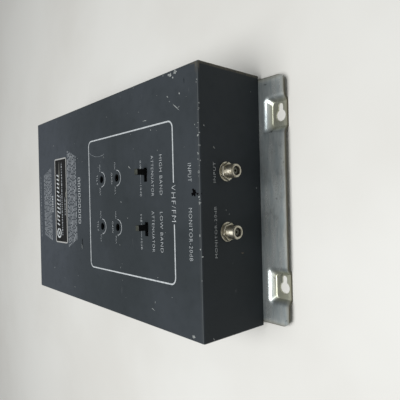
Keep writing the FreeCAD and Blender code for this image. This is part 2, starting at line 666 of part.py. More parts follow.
# ---------------------------------------------------------------- main board

def make_main_board():
    """Main circuit board under the panel, with holes for its screws and the port contacts."""
    body = new_body("main_board")
    outline = new_sketch(body, lift=BOARD_UNDER)
    draw_centred(outline, "0", "0", "dims.board_width", "dims.board_length")
    add_pad(body, outline, "dims.board_gauge")
    holes = new_sketch(body, lift=BOARD_TOP)
    for x, y in BOARD_POSTS:
        draw_circle(holes, x, y, "dims.screw_hole")
    for x, y in TAIL_SPOTS:
        draw_circle(holes, x, y, "dims.contact_radius + dims.tail_gap")
    cut_pocket(body, holes, "2 * dims.board_gauge")


def make_band_shield():
    """Tinned fence round both band sections, with a wall between them."""
    body = new_body("band_shield")
    outline = new_sketch(body, lift=BOARD_TOP)
    draw_rectangle(outline, "-dims.fence_side", "dims.fence_near", "dims.fence_side", "dims.fence_far")
    add_pad(body, outline, "dims.fence_height")
    rooms = new_sketch(body, lift=BOARD_TOP)
    near = "dims.fence_near + dims.fence_gauge"
    far = "dims.fence_far - dims.fence_gauge"
    draw_rectangle(rooms, "dims.fence_gauge - dims.fence_side", near, "-dims.fence_gauge / 2", far)
    draw_rectangle(rooms, "dims.fence_gauge / 2", near, "dims.fence_side - dims.fence_gauge", far)
    cut_pocket(body, rooms, "dims.fence_height", forwards=True)


# Where the small parts of one band stand on the board; the other band mirrors them.
CAN_SPOTS = ((34, -100), (34, -55))
COIL_LEVELS = (-112, -66, -22, 2)
SMALL_CAN_SPOTS = ((38, -26), (38, 0), (30, 4))
CHIP_SPOTS = ((34, -84), (34, -74), (34, -40), (28, -16), (8, -92), (8, -48))


def in_both_bands(spots):
    """Formulas of some points and of their mirror images across the middle of the board."""
    return [("%s%d" % (sign, x), str(y)) for sign in ("", "-") for x, y in spots]


def make_board_parts():
    """Transistors with clip-on heat sinks, coils, capacitors and resistors of the two bands."""
    cans = in_both_bands(CAN_SPOTS)
    drum_group("amplifier_transistors", BOARD_TOP, "dims.can_height", "dims.can_radius", cans)
    sinks = new_body("transistor_heat_sinks")
    rings = new_sketch(sinks, lift=BOARD_TOP + " + dims.sink_lift")
    for x, y in cans:
        draw_circle(rings, x, y, "dims.sink_radius")
        draw_circle(rings, x, y, "dims.can_radius")
    add_pad(sinks, rings, "dims.sink_depth")
    coils = new_body("tuning_coils")
    windings = new_sketch(coils, lift=BOARD_TOP)
    for sign in ("", "-"):
        for y in COIL_LEVELS:
            draw_circle(windings, sign + "dims.coil_x", str(y), "dims.coil_radius")
            draw_circle(windings, sign + "dims.coil_x", str(y), "dims.coil_bore")
    add_pad(coils, windings, "dims.coil_height")
    drum_group("board_capacitors", BOARD_TOP, "dims.small_can_height", "dims.small_can_radius",
               in_both_bands(SMALL_CAN_SPOTS))
    block_group("board_resistors", BOARD_TOP, "dims.chip_width",
                [(x, y, "dims.chip_length", "dims.chip_width") for x, y in in_both_bands(CHIP_SPOTS)])


# ---------------------------------------------------------------- power supply

def make_supply_board():
    """Small board that carries the rectifier, fuse, filter capacitors and regulator."""
    body = block_group("supply_board", SUPPLY_UNDER, "dims.board_gauge",
                       [("dims.supply_x", "dims.supply_y", "dims.supply_width", "dims.supply_length")])
    holes = new_sketch(body, lift=SUPPLY_TOP)
    for x, y in SUPPLY_POSTS:
        draw_circle(holes, x, y, "dims.screw_hole")
    cut_pocket(body, holes, "2 * dims.board_gauge")


# Offsets of the supply's parts from the middle of its board.
FILTER_SPOTS = ((-9, -20), (9, -20))
DIODE_X = -17
DIODE_LEVELS = (0, 5, 10, 15)
DIODE_RISE = 1.4
CLIP_LEVELS = (8, 24)
FUSE_END = 26
REGULATOR_SPOT = (-4, 27)
LEAD_SPOTS = ((-14, 34), (12, 34))


def on_supply(x, y):
    """Formulas of a point given from the middle of the supply board."""
    return ("dims.supply_x + %d" % x, "dims.supply_y + %d" % y)


def make_supply_parts():
    """Filter capacitors, rectifier diodes, fuse in its clips, regulator on its heat sink, and leads."""
    drum_group("filter_capacitors", SUPPLY_TOP, "dims.filter_height", "dims.filter_radius",
               [on_supply(*spot) for spot in FILTER_SPOTS])
    diodes = [(on_supply(0, y)[1], "%s + %s" % (SUPPLY_TOP, DIODE_RISE)) for y in DIODE_LEVELS]
    drum_group("rectifier_diodes", on_supply(DIODE_X, 0)[0], "dims.diode_length", "dims.diode_radius",
               diodes, "YZ_Plane")
    fuse_x = "dims.supply_x + dims.fuse_x"
    fuse_level = SUPPLY_TOP + " + dims.fuse_rise"
    drum_group("fuse", "-dims.supply_y - %d" % FUSE_END, "dims.fuse_length", "dims.fuse_radius",
               [(fuse_x, fuse_level)], "XZ_Plane")
    clips = block_group("fuse_clips", SUPPLY_TOP, "dims.clip_height",
                        [(fuse_x, on_supply(0, y)[1], "dims.clip_width", "dims.clip_depth")
                         for y in CLIP_LEVELS])
    grip = new_sketch(clips, "XZ_Plane", "-dims.supply_y")
    draw_circle(grip, fuse_x, fuse_level, "dims.fuse_radius")
    cut_pocket(clips, grip, "2 * dims.fuse_length")
    block_group("voltage_regulator", SUPPLY_TOP, "dims.regulator_height",
                [on_supply(*REGULATOR_SPOT) + ("dims.regulator_width", "dims.regulator_depth")])
    fins = new_body("regulator_heat_sink")
    comb = new_sketch(fins, lift=SUPPLY_TOP)
    x, y = on_supply(*REGULATOR_SPOT)
    draw_comb(comb, x, y + " + dims.regulator_depth / 2")
    add_pad(fins, comb, "dims.comb_height")
    drum_group("power_leads", SUPPLY_TOP, "%s - %s" % (BOARD_UNDER, SUPPLY_TOP), "dims.power_lead_radius",
               [on_supply(*spot) for spot in LEAD_SPOTS])


def draw_comb(sketch, x, y):
    """Heat sink section: a back and five fins."""
    fin_count = 5
    pitch = 4.0
    fin = 1.4
    depth = 7.0
    back = 1.6
    left = -(fin_count - 1) * pitch / 2 - fin / 2
    points = [(left, 0.0), (-left, 0.0)]
    for index in reversed(range(fin_count)):
        low = left + index * pitch
        points.append((low + fin, depth))
        points.append((low, depth))
        if index:
            points.append((low, back))
            points.append((low - pitch + fin, back))
    draw_outline(sketch, [("%s + %.3f" % (x, dx), "%s + %.3f" % (y, dy)) for dx, dy in points])


LEAD_STEPS = (14, 16.5)


def make_transformer():
    """Laminated core, winding on the middle leg, strap with two ears, and its leads."""
    centre = ("dims.core_x", "dims.core_y")
    window_low = PLATE_TOP + " + dims.core_leg"
    window_high = PLATE_TOP + " + dims.core_height - dims.core_leg"
    windows = (("-dims.core_width / 2 + dims.core_leg", "-dims.core_leg"),
               ("dims.core_leg", "dims.core_width / 2 - dims.core_leg"))
    core = block_group("transformer_core", PLATE_TOP, "dims.core_height",
                       [centre + ("dims.core_width", "dims.core_depth")])
    openings = new_sketch(core, "XZ_Plane", "dims.core_depth - dims.core_y")
    for low, high in windows:
        draw_rectangle(openings, "dims.core_x + " + low, window_low, "dims.core_x + " + high, window_high)
    cut_pocket(core, openings, "2 * dims.core_depth")

    winding = block_group("transformer_winding", window_low + " + dims.core_slack",
                          "dims.core_height - 2 * (dims.core_leg + dims.core_slack)",
                          [centre + ("dims.core_width - 2 * (dims.core_leg + dims.core_slack)",
                                     "dims.core_depth + 2 * dims.coil_swell")])
    leg = new_sketch(winding, lift=PLATE_TOP)
    draw_centred(leg, *centre, "2 * dims.core_leg", "dims.core_depth")
    cut_pocket(winding, leg, "dims.core_height", forwards=True)

    strap = new_body("transformer_strap")
    section = new_sketch(strap, "XZ_Plane", "-dims.core_y - dims.strap_width / 2")
    inner = "(dims.core_width / 2)"
    outer = "(dims.core_width / 2 + dims.strap_gauge)"
    tip = "(dims.core_width / 2 + dims.strap_gauge + dims.strap_ear)"
    crown = "(%s + dims.core_height)" % PLATE_TOP
    ear = "(%s + dims.strap_gauge)" % PLATE_TOP
    half = [(inner, PLATE_TOP), (tip, PLATE_TOP), (tip, ear), (outer, ear),
            (outer, crown + " + dims.strap_gauge")]
    right = [("dims.core_x + " + x, z) for x, z in half]
    left = [("dims.core_x - " + x, z) for x, z in reversed(half)]
    under = [("dims.core_x - " + inner, crown), ("dims.core_x + " + inner, crown)]
    draw_outline(section, right + left + under)
    add_pad(strap, section, "dims.strap_width")
    ears = new_sketch(strap, lift=ear)
    for x, y in STRAP_SCREWS:
        draw_circle(ears, x, y, "dims.screw_hole")
    cut_pocket(strap, ears, "2 * dims.strap_gauge")

    start = "dims.core_x + dims.core_width / 2 - dims.core_leg - dims.core_slack"
    spots = [("dims.core_y - %s" % step, SUPPLY_TOP + " + dims.winding_lead_radius") for step in LEAD_STEPS]
    drum_group("transformer_leads", start, "dims.winding_lead", "dims.winding_lead_radius", spots, "YZ_Plane")


def make_cord_bushing():
    """Snap-in bushing for the power cord in the output end."""
    body = new_body("cord_bushing")
    brim = "dims.bush_radius + dims.bush_lip"
    tail = "-dims.case_gauge - dims.bush_tail"
    turn_profile(body, (
        ("dims.bush_bore", "dims.bush_crown"),
        (brim + " - dims.bush_barb", "dims.bush_crown"),
        (brim, "dims.bush_lip"),
        (brim, "0"),
        ("dims.bush_radius", "0"),
        ("dims.bush_radius", "-dims.case_gauge"),
        ("dims.bush_radius + dims.bush_barb", "-dims.case_gauge"),
        ("dims.bush_radius", tail),
        ("dims.bush_bore", tail),
    ))
    place(body, "dims.bush_x", CASE_END, PLATE_TOP + " + dims.bush_rise", axis=(1, 0, 0), angle=-90)


# ---------------------------------------------------------------- assembly

make_housing()
make_mounting_plate()
make_label()
make_screws("case_screws", "dims.foot_drop", "dims.case_shank", CASE_SCREWS, head_below=True)
make_screws("post_screws", "dims.foot_drop", "dims.post_shank", BOARD_POSTS + SUPPLY_POSTS, head_below=True)
make_screws("board_screws", BOARD_TOP, "dims.board_shank", BOARD_POSTS, head_below=False)
make_screws("supply_screws", SUPPLY_TOP, "dims.supply_shank", SUPPLY_POSTS, head_below=False)
make_screws("strap_screws", PLATE_TOP + " + dims.strap_gauge", "dims.strap_shank", STRAP_SCREWS,
            head_below=False)
make_posts("board_posts", "%s - %s" % (BOARD_UNDER, PLATE_TOP), BOARD_POSTS)
make_posts("supply_posts", "dims.supply_rise", SUPPLY_POSTS)
for port, (port_sign, port_end, port_nut_turn) in PORTS.items():
    make_port(port, port_sign, port_end, port_nut_turn)
make_attenuator("high", "dims.lever_travel / 2")
make_attenuator("low", "dims.low_lever_rest")
for band_name in BANDS:
    for control_name in TRIMMER_Y:
        make_trimmer(band_name, control_name)
make_main_board()
make_band_shield()
make_board_parts()
make_supply_board()
make_supply_parts()
make_transformer()
make_cord_bushing()

doc.recompute()
for item in doc.Objects:
    if "Invalid" in item.State or "Error" in item.State:
        raise RuntimeError("%s (%s) failed: %s" % (item.Name, item.Label, item.State))
os.makedirs("parts", exist_ok=True)
for sub_part in sub_parts:
    shape = sub_part.Shape
    if shape.isNull() or not shape.isValid():
        raise RuntimeError("%s has no valid shape" % sub_part.Label)
    shape.exportStep("parts/%s.step" % sub_part.Label)
    print("%-28s solids %2d volume %10.1f" % (sub_part.Label, len(shape.Solids), shape.Volume))
print(len(sub_parts), "sub-parts")
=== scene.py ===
"""Looks of a wall-mounted antenna distribution unit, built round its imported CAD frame."""

import json
import logging
import math
import random
from dataclasses import dataclass, field
from enum import Enum
from typing import Callable, Sequence

import bmesh
import bpy
from mathutils import Matrix, Vector


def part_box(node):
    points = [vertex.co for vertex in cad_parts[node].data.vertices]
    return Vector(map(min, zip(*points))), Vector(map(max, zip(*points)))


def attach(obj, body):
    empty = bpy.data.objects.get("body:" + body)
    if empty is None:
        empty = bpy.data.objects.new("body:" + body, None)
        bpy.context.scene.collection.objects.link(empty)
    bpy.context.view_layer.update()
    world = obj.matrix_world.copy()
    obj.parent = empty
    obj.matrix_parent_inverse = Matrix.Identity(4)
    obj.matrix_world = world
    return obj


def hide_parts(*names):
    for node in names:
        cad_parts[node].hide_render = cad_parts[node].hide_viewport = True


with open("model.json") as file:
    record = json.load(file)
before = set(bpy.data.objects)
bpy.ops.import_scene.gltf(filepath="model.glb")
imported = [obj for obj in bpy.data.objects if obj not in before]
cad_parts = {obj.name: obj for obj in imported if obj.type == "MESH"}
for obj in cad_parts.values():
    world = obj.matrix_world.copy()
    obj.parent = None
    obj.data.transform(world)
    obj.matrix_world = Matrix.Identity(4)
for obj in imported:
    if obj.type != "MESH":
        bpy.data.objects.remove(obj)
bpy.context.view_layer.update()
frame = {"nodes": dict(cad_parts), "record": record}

LOG = logging.getLogger("distribution_unit")
MM = 0.001
PRINT_LIFT = 0.005
Colour = tuple[float, float, float]
Socket = bpy.types.NodeSocket
Shape = bmesh.types.BMesh
Edge = bmesh.types.BMEdge


def srgb(red: int, green: int, blue: int) -> Colour:
    """Linear colour of an eight-bit display colour.

    Args:
        red: Red level, 0 to 255.
        green: Green level, 0 to 255.
        blue: Blue level, 0 to 255.

    Returns:
        The three linear levels, 0 to 1.
    """
    levels = (red / 255, green / 255, blue / 255)
    return tuple(v / 12.92 if v <= 0.04045 else ((v + 0.055) / 1.055) ** 2.4 for v in levels)


# ---------------------------------------------------------------- shader graphs


class Graph:
    """Small wrapper that writes a material's nodes and links."""

    def __init__(self, name: str) -> None:
        """Starts a material with one principled shader.

        Args:
            name: Name of the material.
        """
        self.material = bpy.data.materials.new(name)
        self.material.use_nodes = True
        self.tree = self.material.node_tree
        self.shader = self.tree.nodes["Principled BSDF"]
        self.place = self.add("ShaderNodeTexCoord").outputs["Object"]

    def add(self, kind: str, **settings: object) -> bpy.types.Node:
        """Adds a node and sets its options.

        Args:
            kind: Blender's type name of the node.
            settings: Options to set on the node.

        Returns:
            The new node.
        """
        node = self.tree.nodes.new(kind)
        for key, value in settings.items():
            setattr(node, key, value)
        return node

    def feed(self, socket: Socket, value: object) -> None:
        """Links an output to a socket, or sets the socket's own value."""
        if isinstance(value, Socket):
            self.tree.links.new(value, socket)
        elif isinstance(value, tuple) and len(value) == 3 and socket.type == "RGBA":
            socket.default_value = (*value, 1.0)
        else:
            socket.default_value = value

    def calc(self, operation: str, first: object, second: object = 0.0) -> Socket:
        """Arithmetic on one or two numbers.

        Args:
            operation: Name of the math operation.
            first: First number or socket.
            second: Second number or socket.

        Returns:
            The result's socket.
        """
        node = self.add("ShaderNodeMath", operation=operation)
        for socket, value in zip(node.inputs, (first, second)):
            self.feed(socket, value)
        return node.outputs[0]

    def hypotenuse(self, first: object, second: object) -> Socket:
        """Length of the longest side of a right-angled triangle."""
        squares = [self.calc("MULTIPLY", side, side) for side in (first, second)]
        return self.calc("SQRT", self.calc("ADD", *squares))

    def spread(self, value: object, low: float, high: float,
               to_low: float = 0.0, to_high: float = 1.0) -> Socket:
        """Maps a range of numbers to another, clamped at both ends.

        Args:
            value: Number or socket to map.
            low: Start of the incoming range.
            high: End of the incoming range.
            to_low: Result at the start.
            to_high: Result at the end.

        Returns:
            The result's socket.
        """
        node = self.add("ShaderNodeMapRange", interpolation_type="SMOOTHSTEP")
        for socket, number in zip(node.inputs, (value, low, high, to_low, to_high)):
            self.feed(socket, number)
        return node.outputs[0]

    def stretched(self, scale: Colour, turn: float = 0.0) -> Socket:
        """Object coordinates scaled along each axis, and turned about Z.

        Args:
            scale: Scale along X, Y and Z.
            turn: Turn about Z in degrees.

        Returns:
            The coordinates' socket.
        """
        node = self.add("ShaderNodeMapping")
        self.feed(node.inputs["Vector"], self.place)
        node.inputs["Scale"].default_value = scale
        node.inputs["Rotation"].default_value = (0, 0, math.radians(turn))
        return node.outputs[0]

    def noise(self, scale: float, detail: float = 3.0, rough: float = 0.55,
              where: object = None) -> Socket:
        """Fractal noise of about 0 to 1.

        Args:
            scale: Features per metre.
            detail: Number of octaves.
            rough: Weight of the finer octaves.
            where: Coordinates, or None for the object's own.

        Returns:
            The noise's socket.
        """
        node = self.add("ShaderNodeTexNoise")
        self.feed(node.inputs["Vector"], where or self.place)
        node.inputs["Scale"].default_value = scale
        node.inputs["Detail"].default_value = detail
        node.inputs["Roughness"].default_value = rough
        return node.outputs["Fac"]

    def cells(self, scale: float, output: str = "Distance") -> Socket:
        """Voronoi cells.

        Args:
            scale: Cells per metre.
            output: Name of the output to use.

        Returns:
            The chosen output's socket.
        """
        node = self.add("ShaderNodeTexVoronoi")
        self.feed(node.inputs["Vector"], self.place)
        node.inputs["Scale"].default_value = scale
        return node.outputs[output]

    def axis(self, name: str) -> Socket:
        """One of the object's coordinates, X, Y or Z."""
        node = self.add("ShaderNodeSeparateXYZ")
        self.feed(node.inputs[0], self.place)
        return node.outputs[name]

    def blend(self, share: object, first: object, second: object) -> Socket:
        """Mix of two colours.

        Args:
            share: Share of the second colour.
            first: Colour or socket at share 0.
            second: Colour or socket at share 1.

        Returns:
            The mixed colour's socket.
        """
        node = self.add("ShaderNodeMix", data_type="RGBA")
        self.feed(node.inputs[0], share)
        self.feed(node.inputs[6], first)
        self.feed(node.inputs[7], second)
        return node.outputs[2]

    def relief(self, height: object, strength: float, depth: float) -> None:
        """Feeds a bump into the shader.

        Args:
            height: Height socket.
            strength: Strength of the bump, 0 to 1.
            depth: Depth in metres that a height of 1 stands for.
        """
        node = self.add("ShaderNodeBump")
        node.inputs["Strength"].default_value = strength
        node.inputs["Distance"].default_value = depth
        self.feed(node.inputs["Height"], height)
        self.feed(self.shader.inputs["Normal"], node.outputs[0])

    def finish(self, colour: object, roughness: object, metallic: object = 0.0,
               gloss: float = 0.5) -> bpy.types.Material:
        """Feeds the shader's main sockets.

        Args:
            colour: Base colour or socket.
            roughness: Roughness or socket.
            metallic: Metallic share or socket.
            gloss: Strength of the specular reflection.

        Returns:
            The finished material.
        """
        self.feed(self.shader.inputs["Base Color"], colour)
        self.feed(self.shader.inputs["Roughness"], roughness)
        self.feed(self.shader.inputs["Metallic"], metallic)
        self.feed(self.shader.inputs["Specular IOR Level"], gloss)
        return self.material


# ---------------------------------------------------------------- finishes


@dataclass(frozen=True)
class CasePaint:
    """Semi-gloss slate paint over steel, worn through along the folds and nicked on its faces, with a painted
    highlight along the folds, painted shade on the walls and a painted reflection towards +Y.
    """

    half_width: float
    half_length: float
    top: float
    coat: Colour = srgb(50, 55, 58)
    # Colour of the random haze clouds, and of the painted reflection towards +Y.
    haze_and_reflection: Colour = srgb(67, 72, 78)
    # Darker coat: painted shade on the walls, and the tone of fine freckles.
    wall: Colour = srgb(38, 42, 45)
    primer: Colour = srgb(176, 176, 168)
    steel: Colour = srgb(88, 85, 76)
    # Painted highlight colour along the folds.
    polished: Colour = srgb(138, 142, 143)
    scuff: Colour = srgb(150, 152, 150)
    # Width of the worn primer along the folds and of the painted fold highlight.
    rub_and_highlight_width: float = 1.1 * MM
    rub_wander: float = 2.2
    corner_near: float = 7.0 * MM
    corner_far: float = 13.5 * MM
    corner_wander: float = 8.0 * MM
    peel_depth: float = 0.05 * MM
    gloss: float = 0.08

    def edge_distance(self, graph: Graph) -> Socket:
        """Distance from the nearest fold: the second smallest of the distances to the case's faces."""
        gaps = []
        for letter, extent in (("X", self.half_width), ("Y", self.half_length)):
            reach = graph.calc("ABSOLUTE", graph.axis(letter))
            gaps.append(graph.calc("SUBTRACT", extent, reach))
        gaps.append(graph.calc("SUBTRACT", self.top, graph.axis("Z")))
        low = graph.calc("MINIMUM", gaps[0], gaps[1])
        high = graph.calc("MAXIMUM", gaps[0], gaps[1])
        return graph.calc("MINIMUM", high, graph.calc("MAXIMUM", low, gaps[2]))

    def base(self, graph: Graph, cloud: Socket, fine: Socket) -> Socket:
        """Coat that hazes over in clouds, grows paler towards +Y as a painted reflection, and is darker on
        the walls as painted shade.
        """
        # Painted reflection: the coat grows paler towards +Y, the far end.
        paler = graph.spread(graph.axis("Y"), -0.3 * self.half_length, self.half_length, 0.0, 0.85)
        haze_and_reflection_share = graph.calc("ADD", graph.spread(cloud, 0.38, 0.72, 0.0, 0.5), paler)
        colour = graph.blend(haze_and_reflection_share, self.coat, self.haze_and_reflection)
        # Painted shade: the walls are darker than the panel.
        walls = graph.spread(graph.axis("Z"), self.top - 2.0 * MM, self.top - 0.6 * MM, 0.5, 0.0)
        colour = graph.blend(walls, colour, self.wall)
        return graph.blend(graph.spread(fine, 0.45, 0.8, 0.0, 0.22), colour, self.wall)

    def bared(self, graph: Graph, distance: Socket, fine: Socket) -> Socket:
        """Share of bare steel on the folds round the corner at +X and -Y."""
        from_side = graph.calc("SUBTRACT", self.half_width, graph.axis("X"))
        from_end = graph.calc("ADD", self.half_length, graph.axis("Y"))
        wander = graph.calc("MULTIPLY", fine, self.corner_wander)
        corner = graph.calc("ADD", graph.hypotenuse(from_side, from_end), wander)
        bared = graph.spread(corner, self.corner_near, self.corner_far, 1.0, 0.0)
        bared = graph.calc("MULTIPLY", bared, graph.spread(distance, 1.4 * MM, 2.6 * MM, 0.9, 0.0))
        return graph.calc("MULTIPLY", bared, graph.spread(graph.noise(420.0, 3.0), 0.35, 0.6, 0.35, 1.0))

    def chipped(self, graph: Graph, distance: Socket) -> Socket:
        """Share of primer along the worn stretches of the folds and in rare nicks."""
        ragged = graph.calc("MULTIPLY", graph.noise(240.0, 5.0, 0.65), self.rub_wander * self.rub_and_highlight_width)
        worn = graph.spread(graph.calc("SUBTRACT", distance, ragged), -1.25 * self.rub_and_highlight_width,
                            -1.05 * self.rub_and_highlight_width, 1.0, 0.0)
        worn = graph.calc("MULTIPLY", worn, graph.spread(graph.noise(26.0, 3.0), 0.5, 0.62))
        nick = graph.spread(graph.cells(62.0), 0.035, 0.055, 1.0, 0.0)
        nick = graph.calc("MULTIPLY", nick, graph.spread(graph.noise(31.0, 2.0), 0.62, 0.66))
        return graph.calc("MAXIMUM", worn, nick)

    def build(self) -> bpy.types.Material:
        """Makes the material."""
        graph = Graph("case_paint")
        cloud = graph.noise(9.0, 4.0, 0.6)
        fine = graph.noise(160.0, 3.0, 0.6)
        distance = self.edge_distance(graph)
        # Painted highlight: a pale line along each fold.
        sheen = graph.spread(distance, 0.35 * self.rub_and_highlight_width, 0.85 * self.rub_and_highlight_width, 0.5, 0.0)
        colour = graph.blend(sheen, self.base(graph, cloud, fine), self.polished)
        colour = graph.blend(self.bared(graph, distance, fine), colour, self.steel)
        chipped = self.chipped(graph, distance)
        colour = graph.blend(chipped, colour, self.primer)
        streaks = graph.noise(34.0, 4.0, 0.7, graph.stretched((1.0, 14.0, 1.0), 38.0))
        scuffs = graph.calc("MULTIPLY", graph.spread(streaks, 0.69, 0.74), 0.16)
        colour = graph.blend(scuffs, colour, self.scuff)
        height = graph.calc("SUBTRACT", graph.calc("MULTIPLY", graph.noise(700.0, 2.0), 0.25), chipped)
        graph.relief(height, 0.35, self.peel_depth)
        rough = graph.spread(cloud, 0.3, 0.7, 0.42, 0.54)
        rough = graph.calc("ADD", rough, graph.calc("MULTIPLY", chipped, 0.2))
        return graph.finish(colour, rough, gloss=self.gloss)


@dataclass(frozen=True)
class Galvanised:
    """Hot-dip zinc on rolled steel: streaks along the plate, faint spangle, grime near the rim."""

    half_width: float
    half_length: float
    top: float
    zinc: Colour = srgb(216, 222, 220)
    dull: Colour = srgb(168, 178, 180)
    olive: Colour = srgb(184, 184, 160)
    grime: Colour = srgb(104, 98, 78)
    glint: Colour = srgb(196, 204, 204)
    blot: Colour = srgb(108, 113, 112)
    cut_edge: Colour = srgb(74, 70, 52)
    spot: Colour = srgb(82, 84, 80)
    stain_wander: float = 5.0 * MM
    grain_depth: float = 0.04 * MM
    metallic: float = 0.78

    def build(self) -> bpy.types.Material:
        """Makes the material."""
        graph = Graph("galvanised_plate")
        streak = graph.noise(30.0, 6.0, 0.66, graph.stretched((1.1, 7.0, 1.0)))
        spangle = graph.add("ShaderNodeSeparateColor")
        graph.feed(spangle.inputs[0], graph.cells(150.0, "Color"))
        colour = graph.blend(graph.spread(streak, 0.36, 0.66), self.dull, self.zinc)
        colour = graph.blend(graph.spread(spangle.outputs[0], 0.0, 1.0, 0.0, 0.14), colour, self.glint)
        rim = graph.calc("SUBTRACT", self.half_length, graph.calc("ABSOLUTE", graph.axis("Y")))
        side = graph.calc("SUBTRACT", self.half_width, graph.calc("ABSOLUTE", graph.axis("X")))
        rim = graph.calc("MINIMUM", rim, side)
        pressed = graph.spread(graph.axis("Z"), 1.0 * MM, self.top - 0.3 * MM, 0.85, 0.0)
        pressed = graph.calc("MULTIPLY", pressed, graph.spread(graph.noise(70.0, 4.0), 0.25, 0.6, 0.6, 1.0))
        colour = graph.blend(pressed, colour, self.olive)
        wander = graph.calc("MULTIPLY", graph.noise(55.0, 4.0), self.stain_wander)
        stain = graph.spread(graph.calc("SUBTRACT", rim, wander), -2.2 * MM, 1.2 * MM, 0.62, 0.0)
        colour = graph.blend(stain, colour, self.grime)
        blotch = graph.spread(graph.noise(95.0, 5.0, 0.7), 0.52, 0.72, 0.0, 0.32)
        colour = graph.blend(blotch, colour, self.blot)
        cut = graph.spread(rim, 0.1 * MM, 0.7 * MM, 0.85, 0.0)
        colour = graph.blend(cut, colour, self.cut_edge)
        spots = graph.spread(graph.noise(210.0, 2.0), 0.68, 0.74, 0.0, 0.6)
        colour = graph.blend(spots, colour, self.spot)
        rough = graph.spread(streak, 0.3, 0.7, 0.34, 0.25)
        rough = graph.calc("ADD", rough, graph.calc("MULTIPLY", stain, 0.25))
        graph.relief(graph.noise(420.0, 3.0), 0.25, self.grain_depth)
        metallic = graph.calc("SUBTRACT", self.metallic, graph.calc("MULTIPLY", stain, 0.5))
        return graph.finish(colour, rough, metallic)


@dataclass(frozen=True)
class Metal:
    """Plated or bare metal with patches of tarnish and fine marks on it."""

    name: str
    bright: Colour
    tarnish: Colour
    roughness: float
    grain: float = 300.0
    bump: float = 0.02 * MM

    def build(self) -> bpy.types.Material:
        """Makes the material."""
        graph = Graph(self.name)
        cloud = graph.noise(self.grain, 4.0, 0.65)
        colour = graph.blend(graph.spread(cloud, 0.38, 0.7), self.bright, self.tarnish)
        marks = graph.noise(5.0 * self.grain, 2.0, 0.5, graph.stretched((1.0, 1.0, 0.35)))
        rough = graph.spread(cloud, 0.35, 0.75, self.roughness, self.roughness + 0.2)
        graph.relief(marks, 0.3, self.bump)
        return graph.finish(colour, rough, 1.0)


@dataclass(frozen=True)
class Plain:
    """Moulded, printed or laminated surface with slight shade changes and a fine texture."""

    name: str
    light: Colour
    dark: Colour
    roughness: float
    grain: float = 220.0
    bump: float = 0.02 * MM
    gloss: float = 0.5

    def build(self) -> bpy.types.Material:
        """Makes the material."""
        graph = Graph(self.name)
        cloud = graph.noise(self.grain, 4.0, 0.6)
        colour = graph.blend(graph.spread(cloud, 0.35, 0.7), self.light, self.dark)
        rough = graph.spread(cloud, 0.3, 0.75, self.roughness, min(1.0, self.roughness + 0.15))
        graph.relief(graph.noise(4.0 * self.grain, 2.0), 0.3, self.bump)
        return graph.finish(colour, rough, gloss=self.gloss)


@dataclass(frozen=True)
class LabelPlate:
    """Aluminium label: dark anodised field inside a bright rim, scratched through in places."""

    low: Vector
    high: Vector
    rim: float = 1.2 * MM
    black: Colour = srgb(13, 14, 15)
    paler: Colour = srgb(24, 25, 27)
    metal: Colour = srgb(196, 197, 195)
    gloss: float = 0.25
    scratch_depth: float = 0.03 * MM

    def build(self) -> bpy.types.Material:
        """Makes the material."""
        graph = Graph("name_label")
        gaps = []
        for letter, index in (("X", 0), ("Y", 1)):
            middle = (self.low[index] + self.high[index]) / 2
            half = (self.high[index] - self.low[index]) / 2
            off = graph.calc("ABSOLUTE", graph.calc("SUBTRACT", graph.axis(letter), middle))
            gaps.append(graph.calc("SUBTRACT", half, off))
        rim = graph.spread(graph.calc("MINIMUM", *gaps), self.rim, 1.05 * self.rim, 1.0, 0.0)
        lines = graph.noise(60.0, 3.0, 0.6, graph.stretched((0.35, 4.5, 1.0), 24.0))
        scratch = graph.spread(lines, 0.705, 0.715)
        bare = graph.calc("MAXIMUM", rim, scratch)
        ground = graph.blend(graph.spread(graph.noise(120.0), 0.4, 0.7), self.black, self.paler)
        colour = graph.blend(bare, ground, self.metal)
        rough = graph.spread(graph.noise(260.0), 0.3, 0.7, 0.28, 0.42)
        graph.relief(bare, 0.4, self.scratch_depth)
        return graph.finish(colour, rough, graph.calc("MULTIPLY", bare, 0.35), self.gloss)


@dataclass(frozen=True)
class PortInsulator:
    """Insulator of a port, painted mid grey for the shade of its recess and darker still towards the barrel's
    wall as painted shade.
    """

    name: str
    centre_x: float
    centre_z: float
    radius: float
    # Painted shade: the white insulator's tone is painted down to mid grey.
    pale: Colour = srgb(104, 106, 92)
    bore_shade: Colour = srgb(14, 14, 11)
    roughness: float = 0.5

    def build(self) -> bpy.types.Material:
        """Makes the material."""
        graph = Graph(self.name)
        across = graph.calc("SUBTRACT", graph.axis("X"), self.centre_x)
        upward = graph.calc("SUBTRACT", graph.axis("Z"), self.centre_z)
        wander = graph.calc("MULTIPLY", graph.noise(700.0), 0.3 * MM)
        off = graph.calc("ADD", graph.hypotenuse(across, upward), wander)
        # Painted shade: darker with distance from the port's centre, towards the barrel's wall.
        bore_shade_share = graph.spread(off, 0.42 * self.radius, 0.78 * self.radius)
        return graph.finish(graph.blend(bore_shade_share, self.pale, self.bore_shade), self.roughness)


@dataclass(frozen=True)
class LeverPlastic:
    """Black moulded lever whose top is painted lighter grey as a highlight."""

    name: str
    top: float
    black: Colour = srgb(10, 10, 10)
    # Painted highlight colour of the lever's top.
    worn: Colour = srgb(66, 69, 62)
    roughness: float = 0.45
    gloss: float = 0.25
    bump: float = 0.02 * MM

    def build(self) -> bpy.types.Material:
        """Makes the material."""
        graph = Graph(self.name)
        patchy = graph.spread(graph.noise(420.0, 3.0), 0.3, 0.65, 0.55, 1.0)
        # Painted highlight: the lever's top face is lighter grey, in patches.
        lit_top = graph.spread(graph.axis("Z"), self.top - 0.5 * MM, self.top - 0.15 * MM)
        colour = graph.blend(graph.calc("MULTIPLY", lit_top, patchy), self.black, self.worn)
        graph.relief(graph.noise(900.0), 0.2, self.bump)
        return graph.finish(colour, self.roughness, gloss=self.gloss)


